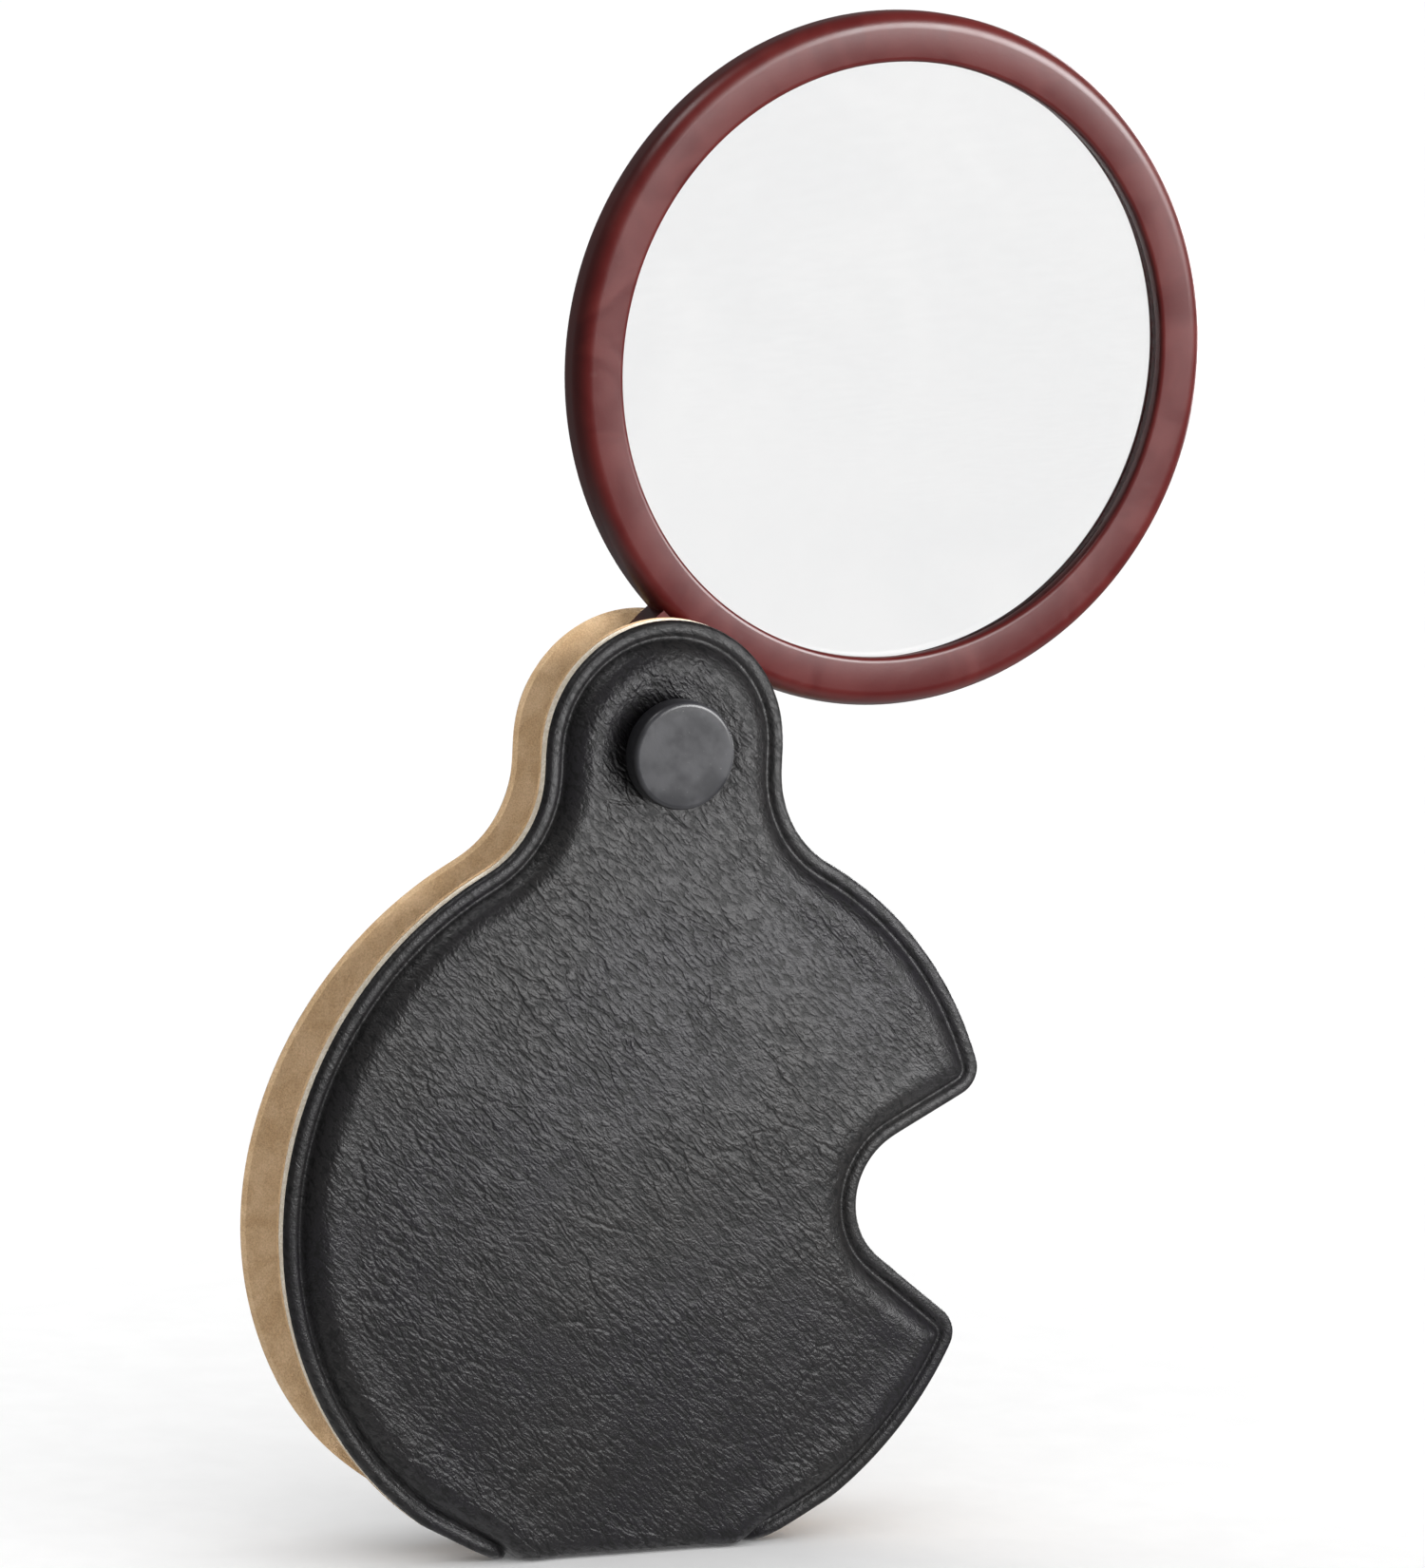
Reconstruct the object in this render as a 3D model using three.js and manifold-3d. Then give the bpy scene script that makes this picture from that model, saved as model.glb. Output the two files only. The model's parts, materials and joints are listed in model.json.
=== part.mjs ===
// A folding pocket magnifying glass: a framed lens on a tab, which turns on a snap rivet between the
// two padded leaves of a folded leather case.
//
// Frame, in millimetres: the origin is the centre of the closed lens, between the two leaves. +Z runs
// up the case from its bottom fold to its rivet, and the front leaf faces -Y. The lens is modelled
// swung out, up and to the right.
import * as THREE from 'three';
import { mergeVertices } from 'three/addons/utils/BufferGeometryUtils.js';
import Module from 'manifold-3d';

const wasm = await Module();
wasm.setup();

// ---- driving dimensions ----

// lens and its frame
const lensRadius = 25;
const lensEdgeThickness = 1.2;
const lensBulge = 1.35; // rise of each face from rim to centre
const clearRadius = 24.2;
const frameRadius = 28.2;
const frameThickness = 4;
const frameRound = 1.7; // rounding of the frame's two outer edges
const pivotToLens = 36.65;
const openAngle = THREE.MathUtils.degToRad(33); // lens direction from straight up, towards +X
const frameLipDepth = 1; // the lip that the glass rests against
const frameLipChamfer = 0.3;
const glassSeatRadius = 25.3;
const retainingSeatRadius = 26.2;
const retainingSeatY = 0.85;
const retainingInnerRadius = 24.4;
const retainingOuterRadius = 25.9;
const retainingFootY = 0.98;
const retainingBevel = 0.3;
const tabRadius = 6.6;
const tabThickness = 3;
const tabRootRadius = 27; // where the tab leaves the frame
const tabRootAngle = THREE.MathUtils.degToRad(11);

// case outline, seen from the front
const bodyRadius = 31.4;
const bodyCentreZ = -0.65;
const neckRadius = 10.4;
const shoulderRadius = 9; // concave curve from the neck to the round body
const foldZ = -29.55; // outside of the bottom fold
const foldInnerZ = -28.6;
const foldCornerRadius = 1.2;
const foldSteps = 10;
const leafBottomZ = -26.4; // where the leaves meet the fold
const notchRootRadius = 6;
const notchRootX = 25.1;
const notchRootZ = -1.3;
const notchUpperSlope = THREE.MathUtils.degToRad(28);
const notchLowerSlope = THREE.MathUtils.degToRad(-38);
const notchLipRadius = 2.4;

// layers of one leaf, measured outward from the lens's mid-plane
const leafInner = 2.25;
const liningThickness = 0.4;
const boardThickness = 0.5;
const rimThickness = 1.2; // leather at the flat rim
const padRise = 1.3; // height of the padded centre above the rim
const leatherSkin = 0.7;
const rimWidth = 1.9;
const layerGap = 0.06;
const padClearance = 0.15;
const rearBow = 3; // how far the rear leaf bows away from the front one
const rearBowPeakZ = -16;
const rearBowTopZ = 30;
const rearTrim = 3; // the rear leaf is cut narrower than the front one at the fold
const rearTrimTopZ = -21;
const creaseHalfWidth = 9; // at the fold, further left than this, the rear leaf leans forward
const creaseSpread = 2.6; // how fast the crease runs outward with height
const creaseSlope = 0.42; // how steeply the corner outside the crease leans
const creaseMargin = 0.05;
const rearLeatherInset = 0.45;

// snap rivet
const capRadius = 4.4;
const capHeight = 2;
const capWall = 0.4;
const capBevel = 0.45;
const capGap = 0.1; // from the padded face to the cap's foot
const discGap = 0.4; // from the padded face to the disc inside the cap
const studRadius = 1.3;
const studTipY = -5.4; // past the middle of the case, as seen from the stud's own side
const socketMouthY = -5.2;
const socketClosedY = 5.9;
const socketInnerRadius = 1.6;
const socketOuterRadius = 2.1;
const rivetDiscRadius = 3.7;
const rivetDiscThickness = 0.8;
const leafHoleRadius = 2.4;
const bushInnerRadius = 2.4;
const bushOuterRadius = 3;
const tabHoleRadius = 3.3;
const washerRadius = 5.2;
const washerThickness = 0.45;
const runningGap = 0.15;

const lensSegments = 72;
const rivetSegments = 36;
const tabSegments = 12;
const arcStep = THREE.MathUtils.degToRad(8);
const sliceGap = 0.04; // closest two slices of a leaf may lie
const weldDistance = 1e-4;
const drillLength = 40;
const overcut = 1;

const liningOuter = leafInner + liningThickness;
const boardInner = liningOuter + layerGap;
const boardOuter = boardInner + boardThickness;
const leatherInner = boardOuter + layerGap;
const rimOuter = leatherInner + rimThickness;
const padOuter = rimOuter + padRise;
const hollowBottomZ = leafBottomZ + leatherSkin;

// ---- colours ----

const burgundy = { color: 0x6b2a2a, roughness: 0.38, metalness: 0 };
const clearGlass = { color: 0xe9eef0, roughness: 0.04, metalness: 0, transparent: true, opacity: 0.35 };
const blackLeather = { color: 0x3a383b, roughness: 0.62, metalness: 0 };
const tanSuede = { color: 0xb9935f, roughness: 0.95, metalness: 0 };
const creamBoard = { color: 0xe8dcc6, roughness: 0.9, metalness: 0 };
const greyFoam = { color: 0x8b8b88, roughness: 1, metalness: 0 };
const blackCap = { color: 0x4c4c50, roughness: 0.42, metalness: 0.3 };
const plainSteel = { color: 0xb4b4b2, roughness: 0.35, metalness: 1 };
const brass = { color: 0xb8995a, roughness: 0.35, metalness: 1 };
const whiteNylon = { color: 0xe6e4dc, roughness: 0.5, metalness: 0 };

// ---- solids ----

function toSolid(geometry) {
  const bare = geometry.index ? geometry.toNonIndexed() : geometry.clone();
  bare.deleteAttribute('normal');
  bare.deleteAttribute('uv');
  const merged = mergeVertices(bare, weldDistance);
  return new wasm.Manifold(new wasm.Mesh({
    numProp: 3,
    vertProperties: new Float32Array(merged.attributes.position.array),
    triVerts: new Uint32Array(merged.index.array),
  }));
}

function toGeometry(solid) {
  const mesh = solid.getMesh();
  const geometry = new THREE.BufferGeometry();
  geometry.setAttribute('position', new THREE.BufferAttribute(new Float32Array(mesh.vertProperties), 3));
  geometry.setIndex(new THREE.BufferAttribute(new Uint32Array(mesh.triVerts), 1));
  geometry.computeVertexNormals();
  return geometry;
}

// Turns a closed [radius, y] profile about the Y axis.
function turned(profile, segments) {
  const points = profile.map(([radius, y]) => new THREE.Vector2(radius, y));
  points.push(points[0].clone());
  return new THREE.LatheGeometry(points, segments);
}

// A round bar along Y at the pivot, used to drill the leaves.
function pivotDrill(radius) {
  const bar = new THREE.CylinderGeometry(radius, radius, drillLength, rivetSegments);
  bar.translate(0, 0, pivotToLens);
  return toSolid(bar);
}

// ---- case outline ----

// Half-width of the case at height z, without the thumb notch, cut back by inset.
function halfWidth(z, inset) {
  const neck = neckRadius - inset;
  const body = bodyRadius - inset;
  const shoulder = shoulderRadius + inset;
  const shoulderX = neckRadius + shoulderRadius;
  const shoulderReach = bodyRadius + shoulderRadius;
  const shoulderZ = bodyCentreZ + Math.sqrt(shoulderReach ** 2 - shoulderX ** 2);
  const shoulderEndZ = bodyCentreZ + (shoulderZ - bodyCentreZ) * body / shoulderReach;
  if (z >= pivotToLens) {
    return Math.sqrt(Math.max(0, neck ** 2 - (z - pivotToLens) ** 2));
  }
  if (z >= shoulderZ) {
    return neck;
  }
  if (z >= shoulderEndZ) {
    return shoulderX - Math.sqrt(shoulder ** 2 - (z - shoulderZ) ** 2);
  }
  return Math.sqrt(body ** 2 - (z - bodyCentreZ) ** 2);
}

// One flank of the thumb notch with the rounded lip that leads it into the body's edge.
// side is 1 for the upper flank and -1 for the lower one.
function notchFlank(side, inset) {
  const slope = side > 0 ? notchUpperSlope : notchLowerSlope;
  const root = notchRootRadius + inset;
  const lip = notchLipRadius - inset;
  const along = new THREE.Vector2(Math.cos(slope), Math.sin(slope));
  const outward = new THREE.Vector2(-Math.sin(slope), Math.cos(slope)).multiplyScalar(side);
  const start = new THREE.Vector2(notchRootX, notchRootZ).addScaledVector(outward, root);
  const body = new THREE.Vector2(0, bodyCentreZ);
  // the lip's centre lies a lip radius inside the flank and inside the body's round edge
  const reach = bodyRadius - notchLipRadius;
  const base = start.clone().addScaledVector(outward, lip).sub(body);
  const b = base.dot(along);
  const travel = -b + Math.sqrt(b ** 2 - base.lengthSq() + reach ** 2);
  const lipCentre = start.clone().addScaledVector(outward, lip).addScaledVector(along, travel);
  const flankEnd = lipCentre.clone().addScaledVector(outward, -lip);
  const lipEnd = lipCentre.clone().sub(body).normalize().multiplyScalar(lip).add(lipCentre);
  return { along, start, root, lip, lipCentre, flankEnd, lipEnd };
}

// x of the case's right edge at height z, thumb notch included, cut back by inset.
function rightEdge(z, inset) {
  const upper = notchFlank(1, inset);
  const lower = notchFlank(-1, inset);
  if (z >= upper.lipEnd.y || z <= lower.lipEnd.y) {
    return halfWidth(z, inset);
  }
  for (const [flank, side] of [[upper, 1], [lower, -1]]) {
    const past = (point) => side * (z - point.y) >= 0;
    if (past(flank.flankEnd)) {
      return flank.lipCentre.x + Math.sqrt(Math.max(0, flank.lip ** 2 - (z - flank.lipCentre.y) ** 2));
    }
    if (past(flank.start)) {
      return flank.start.x + (z - flank.start.y) * flank.along.x / flank.along.y;
    }
  }
  return notchRootX - Math.sqrt(upper.root ** 2 - (z - notchRootZ) ** 2);
}

// Heights at which every leaf layer is sliced, from the leaf's bottom to the neck's top.
function sliceHeights() {
  const heights = [leafBottomZ, hollowBottomZ, hollowBottomZ + layerGap];
  const addArc = (centreZ, radius, from, to) => {
    const count = Math.max(1, Math.round(Math.abs(to - from) / arcStep));
    for (let i = 0; i <= count; i += 1) {
      heights.push(centreZ + radius * Math.sin(from + (to - from) * i / count));
    }
  };
  const upper = notchFlank(1, 0);
  const lower = notchFlank(-1, 0);
  const angleFrom = (centreZ, radius, z) => Math.asin((z - centreZ) / radius);
  const bottomAngle = angleFrom(bodyCentreZ, bodyRadius, leafBottomZ);
  addArc(bodyCentreZ, bodyRadius, bottomAngle, angleFrom(bodyCentreZ, bodyRadius, lower.lipEnd.y));
  addArc(lower.lipCentre.y, lower.lip, angleFrom(lower.lipCentre.y, lower.lip, lower.lipEnd.y), 0);
  addArc(lower.lipCentre.y, lower.lip, 0, angleFrom(lower.lipCentre.y, lower.lip, lower.flankEnd.y));
  addArc(notchRootZ, notchRootRadius, angleFrom(notchRootZ, notchRootRadius, lower.start.y),
    angleFrom(notchRootZ, notchRootRadius, upper.start.y));
  addArc(upper.lipCentre.y, upper.lip, angleFrom(upper.lipCentre.y, upper.lip, upper.flankEnd.y), 0);
  addArc(upper.lipCentre.y, upper.lip, 0, angleFrom(upper.lipCentre.y, upper.lip, upper.lipEnd.y));
  const shoulderX = neckRadius + shoulderRadius;
  const shoulderReach = bodyRadius + shoulderRadius;
  const shoulderZ = bodyCentreZ + Math.sqrt(shoulderReach ** 2 - shoulderX ** 2);
  const shoulderAngle = Math.acos((shoulderZ - bodyCentreZ) / shoulderReach);
  addArc(bodyCentreZ, bodyRadius, angleFrom(bodyCentreZ, bodyRadius, upper.lipEnd.y),
    Math.PI / 2 - shoulderAngle);
  addArc(shoulderZ, shoulderRadius, shoulderAngle - Math.PI / 2, 0);
  addArc(pivotToLens, neckRadius, 0, Math.PI / 2 - arcStep / 2);
  const sorted = heights.sort((a, b) => a - b);
  return sorted.filter((z, i) => i === 0 || z - sorted[i - 1] > sliceGap);
}

// How far the rear leaf stands back from a flat leaf at height z.
function bow(z) {
  const span = z < rearBowPeakZ ? leafBottomZ - rearBowPeakZ : rearBowTopZ - rearBowPeakZ;
  const part = Math.min(1, (z - rearBowPeakZ) / span);
  return rearBow * (1 + Math.cos(Math.PI * part)) / 2;
}

// How much narrower than the front leaf the rear leaf is at height z.
function trim(z) {
  return rearTrim * THREE.MathUtils.smoothstep(-z, -rearTrimTopZ, -foldZ);
}

// x of the crease across the rear leaf's lower left corner at height z.
function creaseX(z) {
  return -creaseHalfWidth - creaseSpread * Math.max(0, z - leafBottomZ);
}

// How far the rear leaf leans forward at x, outside its crease. The right corner doesn't lean,
// because the lens swings in there.
function pinch(x, z) {
  return creaseSlope * Math.max(0, creaseX(z) - x);
}

// One layer of a leaf, from depth inner to depth outer, with its outline cut back by inset. The
// layer is a ladder of slices. Its bottom edge, at the fold, isn't cut back.
function leafLayer(side, inner, outer, inset, bottomZ = leafBottomZ) {
  const rear = side > 0;
  const topZ = pivotToLens + neckRadius * Math.cos(arcStep / 2) - inset;
  const heights = sliceHeights().filter((z) => z > bottomZ + sliceGap && z < topZ - sliceGap);
  const levels = [bottomZ, ...heights, topZ];
  const corners = [];
  for (const z of levels) {
    const cut = rear ? trim(z) : 0;
    const left = -halfWidth(z, inset) + cut;
    const right = rightEdge(z, inset) - cut;
    const crease = Math.max(creaseX(z), left + creaseMargin);
    const across = rear ? [left, crease, right] : [left, right];
    const depth = (x, layer) => side * (layer + (rear ? bow(z) - pinch(x, z) : 0));
    corners.push(...across.flatMap((x) => [x, depth(x, inner), z]));
    corners.push(...across.reverse().flatMap((x) => [x, depth(x, outer), z]));
  }
  const loop = rear ? 6 : 4;
  const last = loop * (levels.length - 1);
  const faces = [];
  for (let k = 0; k + 1 < loop / 2; k += 1) {
    const across = [k, k + 1, loop - 2 - k, loop - 1 - k];
    faces.push(across[0], across[2], across[1], across[0], across[3], across[2]);
    const [a, b, c, d] = across.map((corner) => corner + last);
    faces.push(a, b, c, a, c, d);
  }
  for (let i = 0; i + 1 < levels.length; i += 1) {
    for (let k = 0; k < loop; k += 1) {
      const a = loop * i + k;
      const b = loop * i + (k + 1) % loop;
      // both faces of a layer are split along the same diagonals, so that layers lie parallel
      if (k < loop / 2) {
        faces.push(a, b, a + loop, b, b + loop, a + loop);
      } else {
        faces.push(a, b, b + loop, a, b + loop, a + loop);
      }
    }
  }
  if (!rear) {
    for (let i = 0; i < faces.length; i += 3) {
      [faces[i + 1], faces[i + 2]] = [faces[i + 2], faces[i + 1]];
    }
  }
  const geometry = new THREE.BufferGeometry();
  geometry.setAttribute('position', new THREE.BufferAttribute(new Float32Array(corners), 3));
  geometry.setIndex(faces);
  return toSolid(geometry);
}

// ---- leaves ----

function leafLining(side) {
  return toGeometry(leafLayer(side, leafInner, liningOuter, 0).subtract(pivotDrill(leafHoleRadius)));
}

function leafBoard(side) {
  return toGeometry(leafLayer(side, boardInner, boardOuter, 0).subtract(pivotDrill(leafHoleRadius)));
}

// The leather: a flat rim and a raised centre with a hollow for the foam.
function leafLeather(side) {
  const inset = side > 0 ? rearLeatherInset : 0;
  const rim = leafLayer(side, leatherInner, rimOuter, inset);
  const raised = leafLayer(side, rimOuter - layerGap, padOuter, rimWidth);
  const hollow = leafLayer(side, leatherInner - overcut, padOuter - leatherSkin, rimWidth + leatherSkin,
    hollowBottomZ);
  return toGeometry(rim.add(raised).subtract(hollow).subtract(pivotDrill(leafHoleRadius)));
}

function leafPad(side) {
  const inset = rimWidth + leatherSkin + padClearance;
  const inner = leatherInner + padClearance;
  const outer = padOuter - leatherSkin - padClearance;
  const pad = leafLayer(side, inner, outer, inset, hollowBottomZ + layerGap);
  return toGeometry(pad.subtract(pivotDrill(leafHoleRadius)));
}

// ---- fold ----

// Half-width of the fold at depth y and height z: the front edge is full width, the rear is trimmed.
function foldHalfWidth(y, z) {
  const towardsRear = (y + padOuter) / (2 * padOuter);
  return halfWidth(Math.max(z, foldZ), 0) - trim(z) * towardsRear;
}

// A U-shaped strip along X that closes the case below the leaves. Its inside is half an ellipse of
// half-depth inner, and drawOutside draws the outside from the front to the rear. At each end the
// raised outside drops to the rim and the strip follows the outline, and towards the left end the
// rear wall leans forward.
function foldStrip(inner, innerBottomZ, drawOutside) {
  const topZ = leafBottomZ - layerGap;
  const section = new THREE.Shape();
  drawOutside(section, topZ);
  section.lineTo(inner, topZ);
  section.absellipse(0, topZ, inner, topZ - innerBottomZ, 0, Math.PI, true);
  const { shape } = section.extractPoints(foldSteps);
  if (shape[shape.length - 1].distanceTo(shape[0]) < weldDistance) {
    shape.pop();
  }
  const rimScale = (rimOuter - boardInner) / (padOuter - boardInner);
  const corners = [];
  const addColumn = (reach, scale) => {
    for (const { x: depth, y: height } of shape) {
      const x = reach(foldHalfWidth(depth, height));
      const raised = Math.max(0, Math.abs(depth) - boardInner);
      const flat = depth - Math.sign(depth) * raised * (1 - scale);
      const share = THREE.MathUtils.clamp((depth + leafInner) / (2 * leafInner), 0, 1);
      corners.push(x, flat - share * pinch(x, height), height);
    }
  };
  addColumn((end) => -end, rimScale);
  addColumn((end) => rimWidth - end, 1);
  addColumn((end) => -Math.min(creaseHalfWidth, end - rimWidth - creaseMargin), 1);
  addColumn((end) => end - rimWidth, 1);
  addColumn((end) => end, rimScale);
  const count = shape.length;
  const lastColumn = corners.length / 3 - count;
  const faces = [];
  for (const [a, b, c] of THREE.ShapeUtils.triangulateShape(shape, [])) {
    faces.push(a, c, b, a + lastColumn, b + lastColumn, c + lastColumn);
  }
  for (let column = 0; column < lastColumn; column += count) {
    for (let k = 0; k < count; k += 1) {
      const a = column + k;
      const b = column + (k + 1) % count;
      faces.push(a, b, a + count, b, b + count, a + count);
    }
  }
  const geometry = new THREE.BufferGeometry();
  geometry.setAttribute('position', new THREE.BufferAttribute(new Float32Array(corners), 3));
  geometry.setIndex(faces);
  return geometry;
}

function foldLining() {
  const bottom = foldInnerZ - liningThickness;
  return foldStrip(leafInner, foldInnerZ, (section, topZ) => {
    section.moveTo(-liningOuter, topZ);
    section.absellipse(0, topZ, liningOuter, topZ - bottom, Math.PI, 2 * Math.PI);
  });
}

function foldLeather() {
  const round = foldCornerRadius;
  return foldStrip(boardInner, foldInnerZ - liningThickness - layerGap, (section, topZ) => {
    section.moveTo(-padOuter, topZ);
    section.absarc(-padOuter + round, foldZ + round, round, Math.PI, 1.5 * Math.PI);
    section.absarc(padOuter - round, foldZ + round, round, 1.5 * Math.PI, 2 * Math.PI);
    section.lineTo(padOuter, topZ);
  });
}

// ---- lens ----

function glassLens() {
  const half = lensEdgeThickness / 2;
  const curve = (lensRadius ** 2 + lensBulge ** 2) / (2 * lensBulge);
  const steps = 5;
  const front = [];
  for (let i = 0; i <= steps; i += 1) {
    const radius = lensRadius * i / steps;
    front.push([radius, -half - lensBulge + curve - Math.sqrt(curve ** 2 - radius ** 2)]);
  }
  const rear = front.map(([radius, y]) => [radius, -y]).reverse();
  const points = [...front, ...rear].map(([radius, y]) => new THREE.Vector2(radius, y));
  return new THREE.LatheGeometry(points, lensSegments);
}

// Half-profile of the frame: a front lip, a wall with two rounded outer edges and a stepped seat.
function frameRing() {
  const half = frameThickness / 2;
  const lipBackY = -half + frameLipDepth;
  const profile = [[clearRadius, -half + frameLipChamfer], [clearRadius + frameLipChamfer, -half]];
  const steps = 4;
  for (const turn of [1, -1]) {
    for (let i = 0; i <= steps; i += 1) {
      const angle = turn > 0 ? Math.PI / 2 * (1 - i / steps) : Math.PI / 2 * i / steps;
      const y = (half - frameRound + frameRound * Math.sin(angle)) * -turn;
      profile.push([frameRadius - frameRound + frameRound * Math.cos(angle), y]);
    }
  }
  profile.push([retainingSeatRadius, half], [retainingSeatRadius, retainingSeatY]);
  profile.push([glassSeatRadius, retainingSeatY], [glassSeatRadius, lipBackY], [clearRadius, lipBackY]);
  return turned(profile, lensSegments);
}

// The flat tab that joins the frame to the pivot, drawn with the lens straight above the pivot.
function frameTab() {
  const rootX = tabRootRadius * Math.sin(tabRootAngle);
  const rootZ = -tabRootRadius * Math.cos(tabRootAngle);
  const tab = new THREE.Shape();
  tab.moveTo(rootX, rootZ);
  tab.quadraticCurveTo(tabRadius, -pivotToLens + tabRadius, tabRadius, -pivotToLens);
  tab.absarc(0, -pivotToLens, tabRadius, 0, Math.PI, true);
  tab.quadraticCurveTo(-tabRadius, -pivotToLens + tabRadius, -rootX, rootZ);
  tab.absarc(0, 0, tabRootRadius, -Math.PI / 2 - tabRootAngle, -Math.PI / 2 + tabRootAngle);
  const hole = new THREE.Path();
  hole.absarc(0, -pivotToLens, tabHoleRadius, 0, 2 * Math.PI);
  tab.holes.push(hole);
  const settings = { depth: tabThickness, bevelEnabled: false, curveSegments: tabSegments };
  const geometry = new THREE.ExtrudeGeometry(tab, settings);
  geometry.translate(0, 0, -tabThickness / 2);
  geometry.rotateX(Math.PI / 2);
  return geometry;
}

function lensFrame() {
  return toGeometry(toSolid(frameRing()).add(toSolid(frameTab())));
}

// The ring that holds the glass in from behind, clear of it and of the frame's step.
function retainingRing() {
  const half = frameThickness / 2;
  return turned([[retainingInnerRadius, retainingFootY], [retainingOuterRadius, retainingFootY],
    [retainingOuterRadius, half], [retainingInnerRadius + retainingBevel, half]], lensSegments);
}

function pivotBush() {
  const half = tabThickness / 2;
  const ring = turned([[bushInnerRadius, -half], [bushOuterRadius, -half], [bushOuterRadius, half],
    [bushInnerRadius, half]], rivetSegments);
  ring.translate(0, 0, -pivotToLens);
  return ring;
}

// ---- rivet ----

function washer(side) {
  const inner = side * (tabThickness / 2 + runningGap);
  const outer = side * (tabThickness / 2 + runningGap + washerThickness);
  const low = Math.min(inner, outer);
  const high = Math.max(inner, outer);
  return turned([[bushInnerRadius, low], [washerRadius, low], [washerRadius, high], [bushInnerRadius, high]],
    rivetSegments);
}

const capFootY = padOuter + capGap;
const discInnerY = padOuter + discGap;
const discOuterY = discInnerY + rivetDiscThickness;

// A shallow cap with a bevelled edge, hollow behind, whose flat top faces along side.
function rivetCap(side) {
  const top = capFootY + capHeight;
  const points = [[0, top], [capRadius - capBevel, top], [capRadius, top - capBevel], [capRadius, capFootY],
    [capRadius - capWall, capFootY], [capRadius - capWall, top - capWall], [0, top - capWall]];
  return rivetTurned(points, side);
}

// Turns a profile that starts and ends on the axis, given for a part that faces +Y, and mirrors it
// for one that faces -Y.
function rivetTurned(profile, side) {
  const points = profile.map(([radius, y]) => new THREE.Vector2(radius, side * y));
  if (side > 0) {
    points.reverse();
  }
  return new THREE.LatheGeometry(points, rivetSegments);
}

function frontStud() {
  return rivetTurned([[0, discOuterY], [rivetDiscRadius, discOuterY], [rivetDiscRadius, discInnerY],
    [studRadius, discInnerY], [studRadius, studTipY], [0, studTipY]], -1);
}

function rearSocket() {
  return rivetTurned([[0, discOuterY], [rivetDiscRadius, discOuterY], [rivetDiscRadius, discInnerY],
    [socketOuterRadius, discInnerY], [socketOuterRadius, socketMouthY], [socketInnerRadius, socketMouthY],
    [socketInnerRadius, socketClosedY], [0, socketClosedY]], 1);
}

// ---- assembly ----

function named(name, geometry, finish) {
  const mesh = new THREE.Mesh(geometry, new THREE.MeshStandardMaterial(finish));
  mesh.name = name;
  return mesh;
}

const group = new THREE.Group();

group.add(named('front_lining', leafLining(-1), tanSuede));
group.add(named('front_board', leafBoard(-1), creamBoard));
group.add(named('front_pad', leafPad(-1), greyFoam));
group.add(named('front_leather', leafLeather(-1), blackLeather));
group.add(named('rear_lining', leafLining(1), tanSuede));
group.add(named('rear_board', leafBoard(1), creamBoard));
group.add(named('rear_pad', leafPad(1), greyFoam));
group.add(named('rear_leather', leafLeather(1), blackLeather));
group.add(named('fold_lining', foldLining(), tanSuede));
group.add(named('fold_leather', foldLeather(), blackLeather));

const rivet = new THREE.Group();
rivet.position.set(0, 0, pivotToLens);
rivet.add(named('front_cap', rivetCap(-1), blackCap));
rivet.add(named('front_stud', frontStud(), plainSteel));
rivet.add(named('front_washer', washer(-1), whiteNylon));
rivet.add(named('rear_washer', washer(1), whiteNylon));
rivet.add(named('rear_socket', rearSocket(), plainSteel));
rivet.add(named('rear_cap', rivetCap(1), blackCap));
group.add(rivet);

const swing = new THREE.Group();
swing.position.set(0, 0, pivotToLens);
swing.rotation.y = openAngle;
const lens = new THREE.Group();
lens.position.set(0, 0, pivotToLens);
lens.add(named('glass_lens', glassLens(), clearGlass));
lens.add(named('lens_frame', lensFrame(), burgundy));
lens.add(named('retaining_ring', retainingRing(), burgundy));
lens.add(named('pivot_bush', pivotBush(), brass));
swing.add(lens);
group.add(swing);

export default group;
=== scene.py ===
import json
import math

import bmesh
import bpy
from mathutils import Matrix, Vector, noise
from mathutils.geometry import delaunay_2d_cdt
from mathutils.kdtree import KDTree

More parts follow.
